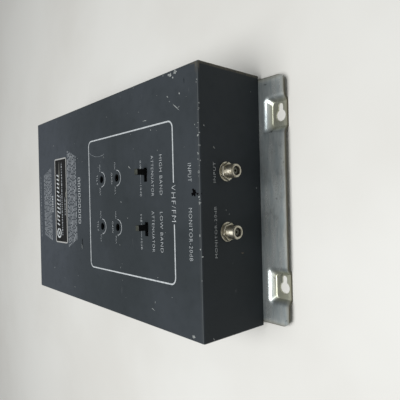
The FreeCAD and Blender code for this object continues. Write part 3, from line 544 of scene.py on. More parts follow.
class Shade(Enum):
    """Finishes that several pieces share."""

    NICKEL = Metal("nickel_plate", srgb(186, 182, 168), srgb(140, 134, 116), 0.34)
    ZINC = Metal("zinc_screws", srgb(172, 174, 170), srgb(120, 120, 112), 0.34)
    TIN = Metal("tinned_steel", srgb(186, 188, 184), srgb(140, 142, 138), 0.30, 60.0)
    BRASS = Metal("brass_contacts", srgb(196, 164, 96), srgb(132, 104, 60), 0.30)
    COPPER = Metal("enamelled_copper", srgb(170, 92, 52), srgb(110, 54, 34), 0.32, 900.0)
    IRON = Metal("core_iron", srgb(92, 92, 94), srgb(58, 56, 56), 0.55, 500.0)
    ALUMINIUM = Metal("sink_aluminium", srgb(190, 192, 194), srgb(150, 152, 154), 0.36)
    # Painted shade: near-black contacts stand for the dark pin holes of the ports.
    PIN_HOLE_SHADE = Metal("pin_hole_shade", srgb(58, 52, 38), srgb(34, 31, 24), 0.45)
    DARK_PLASTIC = Plain("dark_plastic", srgb(24, 24, 25), srgb(36, 36, 37), 0.55)
    LAMINATE = Plain("board_laminate", srgb(150, 124, 72), srgb(118, 94, 52), 0.42, 90.0)
    SLEEVE = Plain("capacitor_sleeve", srgb(30, 42, 92), srgb(22, 30, 66), 0.3)
    LEAD = Plain("lead_insulation", srgb(150, 34, 28), srgb(112, 24, 22), 0.45)
    PRINT = Plain("panel_print", srgb(196, 201, 203), srgb(158, 163, 166), 0.55, 420.0)
    FAINT_PRINT = Plain("faint_print", srgb(150, 155, 159), srgb(96, 101, 106), 0.6, 380.0)
    CHIP = Plain("bare_primer", srgb(164, 168, 167), srgb(104, 107, 106), 0.6, 900.0)
    RUST = Plain("bare_rust", srgb(96, 90, 78), srgb(66, 61, 52), 0.7, 700.0)
    RUBBED = Plain("rubbed_label", srgb(134, 136, 130), srgb(88, 90, 86), 0.5, 500.0)
    SMUDGE = Plain("dark_smudge", srgb(28, 32, 35), srgb(38, 42, 45), 0.8, 900.0, gloss=0.04)
    TAR = Plain("dark_chip", srgb(2, 2, 3), srgb(6, 6, 7), 0.9, 900.0, gloss=0.04)

    def material(self) -> bpy.types.Material:
        """The finish's material, made once."""
        made = bpy.data.materials.get(self.value.name)
        return made or self.value.build()


# ---------------------------------------------------------------- piece helpers


def put_piece(name: str, shape: Shape, material: bpy.types.Material,
              body: str = "root", crease: float = 35.0) -> bpy.types.Object:
    """Turns a bmesh into a piece that rides on a CAD body.

    Args:
        name: Name of the piece.
        shape: The finished shape, in place in the row frame; it is freed.
        material: Material of the piece.
        body: CAD body that carries the piece.
        crease: Angle in degrees above which an edge is shaded sharp.

    Returns:
        The new object.
    """
    mesh = bpy.data.meshes.new(name)
    shape.to_mesh(mesh)
    shape.free()
    mesh.shade_smooth()
    mesh.set_sharp_from_angle(angle=math.radians(crease))
    mesh.materials.append(material)
    piece = bpy.data.objects.new(name, mesh)
    bpy.context.scene.collection.objects.link(piece)
    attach(piece, body)
    LOG.info("piece %s: %d faces on %s", name, len(mesh.polygons), body)
    return piece


def merged_copy(node: str) -> Shape:
    """Joined-up copy of a CAD node's triangles, with flat faces made whole.

    Args:
        node: Name of the CAD node.

    Returns:
        The copy as a bmesh in the row frame.
    """
    shape = bmesh.new()
    shape.from_mesh(frame["nodes"][node].data)
    bmesh.ops.remove_doubles(shape, verts=shape.verts, dist=0.002 * MM)
    bmesh.ops.dissolve_limit(shape, angle_limit=math.radians(0.5), verts=shape.verts, edges=shape.edges)
    return shape


def soften(shape: Shape, width: float, segments: int,
           chosen: Callable[[Edge], bool]) -> None:
    """Rounds the chosen edges of a shape.

    Args:
        shape: Shape to change.
        width: Width of the bevel in metres.
        segments: Number of faces across the bevel.
        chosen: Tells whether an edge is rounded.
    """
    edges = [edge for edge in shape.edges if len(edge.link_faces) == 2 and chosen(edge)]
    bmesh.ops.bevel(shape, geom=edges, offset=width, segments=segments, affect="EDGES",
                    profile=0.5, material=-1, clamp_overlap=False)


def is_corner(low: float, high: float) -> Callable[[Edge], bool]:
    """Test for edges whose faces meet at an angle within a range in degrees."""
    return lambda edge: math.radians(low) < edge.calc_face_angle(0.0) < math.radians(high)


def add_bar(shape: Shape, start: Sequence[float], end: Sequence[float], width: float) -> None:
    """Adds a flat bar between two points on the shape's XY plane.

    Args:
        shape: Shape to add to.
        start: X and Y of the middle of one end.
        end: X and Y of the middle of the other end.
        width: Width of the bar.
    """
    first = Vector((*start, 0.0))
    last = Vector((*end, 0.0))
    along = last - first
    turn = Matrix.Rotation(math.atan2(along.y, along.x), 4, "Z")
    size = Matrix.Diagonal((along.length / 2, width / 2, 1.0, 1.0))
    bmesh.ops.create_grid(shape, x_segments=1, y_segments=1, size=1.0,
                          matrix=Matrix.Translation((first + last) / 2) @ turn @ size)


def add_arc(shape: Shape, centre: Vector, radius: float, width: float,
            first: float, sweep: float, steps: int = 12) -> None:
    """Adds a flat arc on the shape's XY plane.

    Args:
        shape: Shape to add to.
        centre: Centre of the arc.
        radius: Radius of its middle line.
        width: Width of the line.
        first: Direction where it starts, in degrees from +X.
        sweep: Angle it covers, in degrees, positive.
        steps: Number of faces along it.
    """
    heading = Vector((math.cos(math.radians(first)), math.sin(math.radians(first)), 0.0))
    inner = shape.verts.new(centre + heading * (radius - width / 2))
    outer = shape.verts.new(centre + heading * (radius + width / 2))
    spoke = shape.edges.new((inner, outer))
    bmesh.ops.spin(shape, geom=[inner, outer, spoke], cent=centre, axis=(0, 0, 1),
                   angle=math.radians(sweep), steps=steps, use_merge=False)


def thicken(shape: Shape, depth: float) -> None:
    """Gives flat work on the XY plane a thickness upwards, with every face pointing out."""
    bmesh.ops.remove_doubles(shape, verts=shape.verts, dist=0.001 * MM)
    raised = bmesh.ops.extrude_face_region(shape, geom=list(shape.faces))
    verts = [item for item in raised["geom"] if isinstance(item, bmesh.types.BMVert)]
    bmesh.ops.translate(shape, verts=verts, vec=(0, 0, depth))
    bmesh.ops.recalc_face_normals(shape, faces=shape.faces)


def lay_ink(name: str, shape: Shape, shade: Shade, spot: Vector, ink: float) -> None:
    """Raises flat work to the ink's depth, moves it to its spot and makes it a piece.

    Args:
        name: Name of the piece.
        shape: Flat work on the XY plane; it is freed.
        shade: Finish of the ink.
        spot: Where the work's origin goes in the row frame.
        ink: Depth of the ink in metres.
    """
    thicken(shape, ink)
    bmesh.ops.translate(shape, verts=shape.verts, vec=spot)
    put_piece(name, shape, shade.material())


def word_shape(words: str, depth: float, spacing: float = 1.15, thinning: float = -0.021) -> Shape:
    """Raised lettering that fills a unit box on the XY plane.

    Args:
        words: The words.
        depth: Height of the lettering above the plane.
        spacing: Pitch of the letters, where 1 is the font's own.
        thinning: Change of the strokes' half width, as a share of the font's size.

    Returns:
        The lettering, from 0 to 1 along X and along Y.
    """
    curve = bpy.data.curves.new("words", "FONT")
    curve.body = words
    curve.space_character = spacing
    curve.offset = thinning
    curve.resolution_u = 3
    holder = bpy.data.objects.new("words", curve)
    bpy.context.scene.collection.objects.link(holder)
    bpy.context.view_layer.update()
    mesh = bpy.data.meshes.new_from_object(holder.evaluated_get(bpy.context.evaluated_depsgraph_get()))
    shape = bmesh.new()
    shape.from_mesh(mesh)
    bpy.data.objects.remove(holder)
    bpy.data.curves.remove(curve)
    bpy.data.meshes.remove(mesh)
    across = [vert.co.x for vert in shape.verts]
    upward = [vert.co.y for vert in shape.verts]
    corner = Vector((min(across), min(upward), 0.0))
    scale = Matrix.Diagonal((1 / (max(across) - corner.x), 1 / (max(upward) - corner.y), 1.0, 1.0))
    bmesh.ops.transform(shape, matrix=scale @ Matrix.Translation(-corner), verts=shape.verts)
    thicken(shape, depth)
    return shape


# ---------------------------------------------------------------- the case's print


@dataclass
class Legend:
    """One word or short phrase of the print, from where it starts to where it ends, in millimetres."""

    name: str
    words: str
    start: float
    end: float
    level: float
    height: float


@dataclass
class CaseFaces:
    """Where the case's panel and input end lie, read from the frame."""

    low: Vector = field(default_factory=lambda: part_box("housing")[0])
    high: Vector = field(default_factory=lambda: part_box("housing")[1])

    def on_panel(self, across: float, along: float, rise: float = 0.0) -> Vector:
        """Point on the panel.

        Args:
            across: Millimetres from the middle line towards +X.
            along: Millimetres from the input end.
            rise: Millimetres above the panel.

        Returns:
            The point in the row frame, in metres.
        """
        return Vector((across * MM, self.low.y + along * MM, self.high.z + rise * MM))

    def on_end(self, across: float, up: float, rise: float = 0.0) -> Vector:
        """Point on the input end.

        Args:
            across: Millimetres from the middle line towards +X.
            up: Millimetres above the back plate.
            rise: Millimetres out of the end.

        Returns:
            The point in the row frame, in metres.
        """
        return Vector((across * MM, self.low.y - rise * MM, self.low.z + up * MM))


@dataclass
class PanelPrint:
    """White screen print of the panel and the input end; sizes in millimetres."""

    faces: CaseFaces
    ink: float = 0.035
    half_width: float = 57.0
    near: float = 27.3
    far: float = 153.0
    corner: float = 5.0
    line: float = 1.05
    gap: tuple[float, float] = (-15.0, 14.0)
    control_shift: float = 1.0
    trimmer_across: float = 20.5
    trimmer_along: tuple[float, float] = (104.0, 130.0)
    arc_radius: float = 6.4
    arc_line: float = 0.45
    arc_start: float = 184.0
    arc_sweep: float = 176.0
    arc_steps: int = 22
    dot_radius: float = 0.3
    dot_line: float = 0.6
    dot_sweep: float = 350.0
    dot_steps: int = 10
    min_span: tuple[float, float] = (13.0, 7.4)
    max_span: tuple[float, float] = (-7.4, -13.6)
    word_span: tuple[float, float] = (4.6, -4.6)
    span_level: float = 2.7
    word_level: float = 8.0
    span_height: float = 1.5
    word_height: float = 2.0
    panel_words: Sequence[Legend] = (
        Legend("input", "INPUT", 25.9, 13.8, 9.8, 3.4),
        Legend("monitor", "MONITOR-20dB", -3.7, -38.7, 9.9, 3.4),
        Legend("service", "VHF/FM", 12.4, -13.2, 27.6, 4.6),
        Legend("high", "HIGH BAND", 34.7, 5.9, 41.9, 3.2),
        Legend("high_attenuator", "ATTENUATOR", 35.1, 5.2, 52.5, 2.9),
        Legend("low", "LOW BAND", -6.5, -35.6, 42.3, 3.2),
        Legend("low_attenuator", "ATTENUATOR", -5.9, -36.0, 52.7, 2.9),
        Legend("high_zero", "0dB", 32.6, 26.4, 68.0, 1.9),
        Legend("high_ten", "10dB", 13.6, 5.4, 68.0, 1.9),
        Legend("low_zero", "0dB", -8.2, -14.4, 68.4, 1.9),
        Legend("low_ten", "10dB", -27.2, -35.4, 68.4, 1.9),
    )
    scale_lines: Sequence[tuple[float, float, float]] = (
        (25.6, 14.8, 68.0), (-15.4, -26.0, 68.4),
    )
    scale_line: float = 0.35
    end_words: Sequence[Legend] = (
        Legend("end_input", "INPUT", 13.0, 26.4, 46.4, 2.0),
        Legend("end_monitor", "MONITOR-20dB", -37.2, -3.2, 46.3, 2.1),
    )

    def letter(self, legend: Legend, on_end: bool = False) -> None:
        """Makes one legend as raised ink.

        On the panel the words read towards -X with their tops towards the input end. On the input end they
        read towards +X and stand upright.

        Args:
            legend: The words and their extent.
            on_end: Whether they are on the input end, and not on the panel.
        """
        middle = (legend.start + legend.end) / 2
        if on_end:
            spot = self.faces.on_end(middle, legend.level, PRINT_LIFT)
            turn = Matrix.Rotation(math.pi / 2, 4, "X")
        else:
            spot = self.faces.on_panel(middle, legend.level, PRINT_LIFT)
            turn = Matrix.Rotation(math.pi, 4, "Z")
        shape = word_shape(legend.words, self.ink * MM)
        size = Matrix.Diagonal((abs(legend.end - legend.start) * MM, legend.height * MM, 1.0, 1.0))
        centred = Matrix.Translation((-0.5, -0.5, 0.0))
        bmesh.ops.transform(shape, matrix=Matrix.Translation(spot) @ turn @ size @ centred, verts=shape.verts)
        put_piece("legend_" + legend.name, shape, Shade.PRINT.material())

    def frame_line(self) -> None:
        """Makes the rounded line round the controls, open where its title stands."""
        shape = bmesh.new()
        width = self.line * MM
        side = self.half_width * MM
        depth = (self.far - self.near) * MM
        turn = self.corner * MM
        gap_low, gap_high = (edge * MM for edge in self.gap)
        runs = (
            ((-side + turn, 0.0), (gap_low, 0.0)),
            ((gap_high, 0.0), (side - turn, 0.0)),
            ((side, turn), (side, depth - turn)),
            ((side - turn, depth), (-side + turn, depth)),
            ((-side, depth - turn), (-side, turn)),
        )
        for start, end in runs:
            add_bar(shape, start, end, width)
        corners = ((-1, turn, 180), (1, turn, 270), (1, depth - turn, 0), (-1, depth - turn, 90))
        for sign, along, first in corners:
            add_arc(shape, Vector((sign * (side - turn), along, 0.0)), turn, width, first, 90)
        spot = self.faces.on_panel(0, self.near, PRINT_LIFT)
        lay_ink("control_frame_line", shape, Shade.PRINT, spot, self.ink * MM)

    def trimmer_marks(self) -> None:
        """Makes each trimmer's arc with the dot at its end and its three small words."""
        radius = self.arc_radius * MM
        for band, sign in (("high", 1), ("low", -1)):
            for control, along in zip(("gain", "tilt"), self.trimmer_along):
                name = "%s_%s" % (band, control)
                across = sign * self.trimmer_across + self.control_shift
                shape = bmesh.new()
                add_arc(shape, Vector(), radius, self.arc_line * MM, self.arc_start, self.arc_sweep,
                        self.arc_steps)
                add_arc(shape, Vector((-radius, -0.1 * radius, 0)), self.dot_radius * MM,
                        self.dot_line * MM, 0, self.dot_sweep, self.dot_steps)
                spot = self.faces.on_panel(across, along, PRINT_LIFT)
                lay_ink("arc_" + name, shape, Shade.PRINT, spot, self.ink * MM)
                words = (
                    ("_min", "MIN", self.min_span, self.span_level, self.span_height),
                    ("_max", "MAX", self.max_span, self.span_level, self.span_height),
                    ("_word", control.upper(), self.word_span, self.word_level, self.word_height),
                )
                for suffix, word, (start, end), level, height in words:
                    legend = Legend(name + suffix, word, across + start, across + end, along + level, height)
                    self.letter(legend)

    def scale_bars(self) -> None:
        """Makes the fine lines that join each attenuator's two end values."""
        shape = bmesh.new()
        for start, end, along in self.scale_lines:
            add_bar(shape, (start * MM, along * MM), (end * MM, along * MM), self.scale_line * MM)
        lay_ink("scale_lines", shape, Shade.FAINT_PRINT, self.faces.on_panel(0, 0, PRINT_LIFT), self.ink * MM)

    def build(self) -> None:
        """Makes the whole print."""
        self.frame_line()
        self.scale_bars()
        self.trimmer_marks()
        for legend in self.panel_words:
            self.letter(legend)
        for legend in self.end_words:
            self.letter(legend, on_end=True)


@dataclass
class BlankNotes:
    """Rows of plain bars where the maker's notes were, set out as text but saying nothing; in millimetres."""

    faces: CaseFaces
    ink: float = 0.03
    seed: int = 11
    heading_span: tuple[float, float] = (-17.8, 27.4)
    heading_along: float = 174.6
    heading_height: float = 4.2
    heading_line: float = 0.5
    heading_count: int = 9
    heading_share: float = 0.62

    def row(self, shape: Shape, chance: random.Random, span: tuple[float, float],
            along: float, height: float, word: tuple[float, float], gap: float) -> None:
        """Adds one row of bars.

        Args:
            shape: Shape to add to.
            chance: Source of the word lengths.
            span: Where the row starts and ends across the panel.
            along: Distance of the row from the input end.
            height: Height of the bars.
            word: Shortest and longest bar.
            gap: Space between two bars.
        """
        spot, stop = span
        while spot < stop:
            end = min(stop, spot + chance.uniform(*word))
            add_bar(shape, (spot * MM, along * MM), (end * MM, along * MM), height * MM)
            spot = end + gap

    def block(self, name: str, shade: Shade, rows: Sequence[tuple[float, float, float, float]],
              word: tuple[float, float], gap: float, rise: float = PRINT_LIFT) -> None:
        """Makes one block of rows as a piece.

        Args:
            name: Name of the piece.
            shade: Its finish.
            rows: Start, end, distance from the input end, and height of each row.
            word: Shortest and longest bar.
            gap: Space between two bars.
            rise: Millimetres from the panel up to the print's underside.
        """
        chance = random.Random(self.seed + len(name))
        shape = bmesh.new()
        for start, end, along, height in rows:
            self.row(shape, chance, (start, end), along, height, word, gap)
        lay_ink(name, shape, shade, self.faces.on_panel(0, 0, rise), self.ink * MM)

    def heading(self) -> None:
        """Makes the note's heading: a row of open boxes as high as its letters were."""
        shape = bmesh.new()
        start, end = self.heading_span
        pitch = (end - start) / self.heading_count * MM
        height = self.heading_height * MM
        line = self.heading_line * MM
        near = self.heading_along * MM - height / 2
        for index in range(self.heading_count):
            left = start * MM + index * pitch
            right = left + self.heading_share * pitch
            for across in (left, right):
                add_bar(shape, (across, near), (across, near + height), line)
            for along in (near, near + height):
                add_bar(shape, (left, along), (right, along), line)
        lay_ink("note_heading", shape, Shade.PRINT, self.faces.on_panel(0, 0, PRINT_LIFT), self.ink * MM)

    @staticmethod
    def tapered(count: int, first: float, last: float, near: tuple[float, float],
                far: tuple[float, float], height: float) -> list[tuple[float, float, float, float]]:
        """Rows evenly spaced along the panel, with ends that move evenly from the first row to the last.

        Args:
            count: Number of rows.
            first: Distance of the first row from the input end.
            last: Distance of the last row.
            near: Start and end of the first row.
            far: Start and end of the last row.
            height: Height of the rows.

        Returns:
            The rows for block().
        """
        rows = []
        for index in range(count):
            share = index / (count - 1)
            start = near[0] + share * (far[0] - near[0])
            end = near[1] + share * (far[1] - near[1])
            rows.append((start, end, first + share * (last - first), height))
        return rows

    def build(self) -> None:
        """Makes the two notes and the line under them."""
        self.heading()
        note = self.tapered(7, 181.8, 199.6, (-34, 47), (-42, 54), 1.35)
        self.block("note_text", Shade.FAINT_PRINT, note, (1.6, 7.0), 1.1)
        self.block("caution_heading", Shade.PRINT, [(-7.8, 9.7, 239.2, 1.7)], (1.5, 2.2), 0.8)
        caution = self.tapered(8, 242.6, 261.6, (-38, 40), (-33, 33), 1.2)
        self.block("caution_text", Shade.FAINT_PRINT, caution, (1.6, 6.0), 1.0)
        self.block("foot_line", Shade.FAINT_PRINT, [(-36, 33, 271.7, 0.7)], (1.2, 4.0), 1.0)


@dataclass
class NameLabel:
    """Blank metal name label: its own finish, and plain marks where a maker's print would be.

    Sizes are in millimetres, and heights on the label are measured from its edge nearest the input end.
    """

    faces: CaseFaces
    notes: BlankNotes
    rise: float = 0.285
    small_rows: Sequence[tuple[float, float, float, float]] = (
        (-31.4, 43.5, 12.0, 1.9), (-9.5, 10.2, 16.2, 1.6), (-10.6, 7.1, 4.8, 1.6),
    )
    dashes: tuple[float, float] = (-20.2, 30.3)
    dash_count: int = 13
    dash_ends: tuple[float, float] = (18.6, 24.4)
    dash_lean: float = 0.9
    dash_line: float = 1.5
    seal_across: float = -29.3
    seal_along: float = 20.4
    seal_radius: float = 4.3
    seal_line: float = 1.8
    seal_sweep: float = 345.0
    seal_steps: int = 28
    seal_bar: tuple[float, float] = (1.6, 2.0)

    def build(self) -> None:
        """Dresses the CAD label and prints its field."""
        low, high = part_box("name_label")
        dress("name_label", LabelPlate(low, high).build())
        near = (low.y - self.faces.low.y) / MM
        rows = [(start, end, near + along, height) for start, end, along, height in self.small_rows]
        self.notes.block("label_small_marks", Shade.FAINT_PRINT, rows, (1.0, 3.2), 0.9, self.rise)
        shape = bmesh.new()
        pitch = (self.dashes[1] - self.dashes[0]) / (self.dash_count - 1)
        bottom, top = ((near + end) * MM for end in self.dash_ends)
        for index in range(self.dash_count):
            across = self.dashes[0] + pitch * index
            start = ((across - self.dash_lean) * MM, bottom)
            end = ((across + self.dash_lean) * MM, top)
            add_bar(shape, start, end, self.dash_line * MM)
        seal = Vector((self.seal_across * MM, (near + self.seal_along) * MM, 0))
        add_arc(shape, seal, self.seal_radius * MM, self.seal_line * MM, 0, self.seal_sweep, self.seal_steps)
        reach, width = (size * MM for size in self.seal_bar)
        add_bar(shape, (seal.x - reach, seal.y), (seal.x + reach, seal.y), width)
        spot = self.faces.on_panel(0, 0, self.rise)
        lay_ink("label_large_marks", shape, Shade.PRINT, spot, self.notes.ink * MM)


# ---------------------------------------------------------------- wear


@dataclass
class Flake:
    """One irregular mark in the paint, in millimetres."""

    across: float
    along: float
    size: float
    shade: Shade = Shade.CHIP
    stretch: float = 1.0
    turn: float = 0.0


@dataclass
class Wear:
    """Chips, nicks and scratches of the paint and the label, in millimetres."""

    faces: CaseFaces
    depth: float = 0.02
    lift: float = 0.01
    bend: float = 2.0
    corners: int = 15
    ragged: tuple[float, float] = (0.4, 1.3)
    panel: Sequence[Flake] = (
        Flake(89.8, 22.6, 3.2, stretch=1.2, turn=70), Flake(88.6, 28.6, 2.8, stretch=1.6, turn=80),
        Flake(86.2, 25.4, 0.9, stretch=2.4, turn=50), Flake(90.0, 36.6, 0.9),
        Flake(73.8, 18.7, 1.2, stretch=1.5), Flake(74.2, 32.0, 1.3, stretch=1.3, turn=40),
        Flake(70.4, 29.6, 0.5, stretch=2.8, turn=52), Flake(65.0, 22.2, 0.6, stretch=16.0, turn=52),
        Flake(65.0, 19.4, 0.5, stretch=5.0, turn=100), Flake(81.5, 13.4, 1.0, Shade.SMUDGE, 5.0),
        Flake(90.0, 75.3, 0.8), Flake(62.0, 60.6, 0.5, stretch=11.0, turn=88), Flake(69.9, 68.9, 0.6),
        Flake(77.7, 44.5, 0.6), Flake(50.5, 3.6, 0.8), Flake(43.2, 1.0, 1.0, stretch=1.8, turn=0),
        Flake(27.8, 1.2, 0.8), Flake(19.8, 1.0, 1.0, stretch=2.0, turn=0), Flake(3.4, 1.1, 1.1),
        Flake(-1.1, 1.0, 0.9), Flake(-88.6, 9.5, 2.0, stretch=1.5, turn=80),
        Flake(-78.6, 55.2, 0.5, stretch=10.0, turn=72), Flake(-66.2, 31.8, 0.7), Flake(-68.9, 180.8, 0.8),
        Flake(-67.0, 237.9, 1.1), Flake(62.8, 233.2, 1.0), Flake(54.0, 53.2, 0.9), Flake(38.2, 45.5, 0.7),
        Flake(28.8, 84.0, 0.75, stretch=4.6, turn=50), Flake(1.4, 97.6, 0.6, stretch=3.0, turn=60),
        Flake(-11.5, 88.1, 0.9), Flake(-54.3, 48.4, 0.7), Flake(6.0, 5.6, 5.4, Shade.TAR, 1.0, 20),
        Flake(5.2, 1.6, 2.2, Shade.TAR, 1.7, 80), Flake(-37.0, 169.6, 1.6, Shade.TAR, 6.0, 8),
        Flake(-40.0, 171.0, 0.7, stretch=9.0, turn=12), Flake(46.0, 190.8, 1.0, Shade.CHIP, 7.0, 36),
    )
    end: Sequence[Flake] = (
        Flake(36.2, 46.4, 0.6, stretch=4.0, turn=45), Flake(-5.8, 36.3, 0.8), Flake(-8.7, 33.4, 0.8),
        Flake(-36.5, 21.0, 0.9, Shade.RUST, 3.4, 85), Flake(9.3, 4.6, 1.0),
        Flake(-90.0, 50.4, 0.5, stretch=6.0, turn=35), Flake(79.0, 8.5, 0.7),
        Flake(50.0, 55.0, 0.5, stretch=3.0, turn=10),
    )
    label: Sequence[Flake] = (
        Flake(27.4, 220.4, 1.9, Shade.RUBBED, 19.0, -2.0),
        Flake(11.8, 203.6, 3.4, Shade.RUBBED, 3.6, 2.0),
    )
    label_rise: float = 0.42
    curve_centre: tuple[float, float] = (78.0, 134.0)
    curve_radius: float = 36.0
    curve_line: float = 0.24
    curve_start: float = 150.0
    curve_sweep: float = 46.0
    curve_steps: int = 22
    seed: int = 5
    fold_nicks: int = 22
    spread_nicks: int = 34
    reach: float = 90.0
    busiest: float = 42.0
    calm: float = 20.0

    def strays(self, chance: random.Random) -> list[Flake]:
        """Small nicks that gather along the folds and thin out over the panel."""
        nicks = []
        for _ in range(self.fold_nicks):
            across = chance.triangular(-self.reach, self.reach, self.busiest)
            nicks.append(Flake(across, chance.uniform(0.1, 1.5), chance.uniform(0.3, 0.8), Shade.CHIP,
                               chance.uniform(1.0, 2.2), chance.uniform(-30.0, 30.0)))
        for _ in range(self.spread_nicks):
            across = chance.choice((-1.0, 1.0)) * chance.uniform(self.calm, self.reach)
            nicks.append(Flake(across, chance.uniform(4.0, 272.0), chance.uniform(0.2, 0.6), Shade.CHIP,
                               chance.uniform(1.0, 3.5), chance.uniform(0.0, 180.0)))
        return nicks

    def sag(self, point: Vector) -> float:
        """How far the panel's rounded rim lies below its flat at a point, or 0 on the case's walls."""
        bend = self.bend * MM
        inset = min(self.faces.high.x - abs(point.x), point.y - self.faces.low.y, self.faces.high.y - point.y)
        if point.z < self.faces.high.z - bend or inset > bend:
            return 0.0
        reach = min(bend - inset, 0.96 * bend)
        return bend - math.sqrt(bend * bend - reach * reach)

    def flake(self, shape: Shape, mark: Flake, chance: random.Random, place: Matrix) -> None:
        """Adds one irregular flake.

        Args:
            shape: Shape to add to.
            mark: The flake's size and direction.
            chance: Source of its ragged outline.
            place: Matrix of its middle.
        """
        ring = bmesh.ops.create_circle(shape, cap_ends=True, segments=self.corners,
                                       radius=mark.size / 2 * MM)["verts"]
        for vert in ring:
            vert.co *= chance.uniform(*self.ragged)
            vert.co.x *= mark.stretch
        turned = place @ Matrix.Rotation(math.radians(mark.turn), 4, "Z")
        flat = bmesh.ops.triangulate(shape, faces=ring[0].link_faces)["faces"]
        raised = bmesh.ops.extrude_face_region(shape, geom=flat)
        verts = [item for item in raised["geom"] if isinstance(item, bmesh.types.BMVert)]
        bmesh.ops.translate(shape, verts=verts, vec=(0, 0, self.depth * MM))
        faces = list({face for vert in ring + verts for face in vert.link_faces})
        bmesh.ops.recalc_face_normals(shape, faces=faces)
        tops = [face for face in faces if all(vert in verts for vert in face.verts)]
        tops[0].normal_update()
        if tops[0].normal.z < 0:
            bmesh.ops.reverse_faces(shape, faces=faces)
        bmesh.ops.transform(shape, matrix=turned, verts=ring + verts)
        for vert in ring + verts:
            vert.co.z -= self.sag(vert.co)

    def placed(self, chance: random.Random) -> list[tuple[Flake, Matrix]]:
        """Every mark of the panel, the input end and the label, with the matrix of its middle."""
        upright = Matrix.Rotation(math.pi / 2, 4, "X")
        marks = [(mark, Matrix.Translation(self.faces.on_panel(mark.across, mark.along, self.lift)))
                 for mark in [*self.panel, *self.strays(chance)]]
        marks += [(mark, Matrix.Translation(self.faces.on_end(mark.across, mark.along, self.lift)) @ upright)
                  for mark in self.end]
        marks += [(mark, Matrix.Translation(self.faces.on_panel(mark.across, mark.along, self.label_rise)))
                  for mark in self.label]
        return marks

    def curved_scratch(self) -> None:
        """Makes the long curved scratch of the panel."""
        curve = bmesh.new()
        centre = self.faces.on_panel(*self.curve_centre, self.lift)
        add_arc(curve, centre, self.curve_radius * MM, self.curve_line * MM, self.curve_start,
                self.curve_sweep, self.curve_steps)
        thicken(curve, self.depth * MM)
        put_piece("wear_curved_scratch", curve, Shade.FAINT_PRINT.material())

    def build(self) -> None:
        """Makes one piece for each finish of the marks."""
        chance = random.Random(self.seed)
        shades = (Shade.CHIP, Shade.RUST, Shade.TAR, Shade.SMUDGE, Shade.RUBBED)
        shapes = {shade: bmesh.new() for shade in shades}
        for mark, place in self.placed(chance):
            self.flake(shapes[mark.shade], mark, chance, place)
        self.curved_scratch()
        for shade, shape in shapes.items():
            put_piece("wear_" + shade.value.name, shape, shade.material())


# ---------------------------------------------------------------- plate, ports and controls


def dress(node: str, material: bpy.types.Material) -> None:
    """Gives a CAD node its material."""
    mesh = frame["nodes"][node].data
    mesh.materials.clear()
    mesh.materials.append(material)


@dataclass
class BackPlate:
    """Galvanised back plate with softly pressed feet."""

    corner: float = 2.6 * MM
    corner_segments: int = 6
    outer_bend: float = 1.7 * MM
    inner_bend: float = 0.5 * MM
    bend_segments: int = 5
    fold_angles: tuple[float, float] = (20.0, 70.0)
    rising: tuple[float, float] = (0.3, 0.9)
    level: float = 0.2

    @staticmethod
    def steepness(edge: Edge) -> float:
        """Share of an edge's length that it rises."""
        along = edge.verts[1].co - edge.verts[0].co
        return abs(along.z) / max(along.length, 0.001 * MM)

    def build(self) -> None:
        """Replaces the CAD plate with one whose pressed corners and bends are round."""
        low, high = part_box("mounting_plate")
        middle = (low.z + high.z) / 2
        fold = is_corner(*self.fold_angles)
        shape = merged_copy("mounting_plate")
        soften(shape, self.corner, self.corner_segments,
               lambda edge: fold(edge) and self.rising[0] < self.steepness(edge) < self.rising[1])
        soften(shape, self.outer_bend, self.bend_segments,
               lambda edge: fold(edge) and self.steepness(edge) < self.level and edge.verts[0].co.z > middle)
        soften(shape, self.inner_bend, self.bend_segments,
               lambda edge: fold(edge) and self.steepness(edge) < self.level and edge.verts[0].co.z < middle)
        finish = Galvanised(high.x, high.y, high.z)
        plate = put_piece("pressed_plate", shape, finish.build(), crease=50.0)
        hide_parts("mounting_plate")


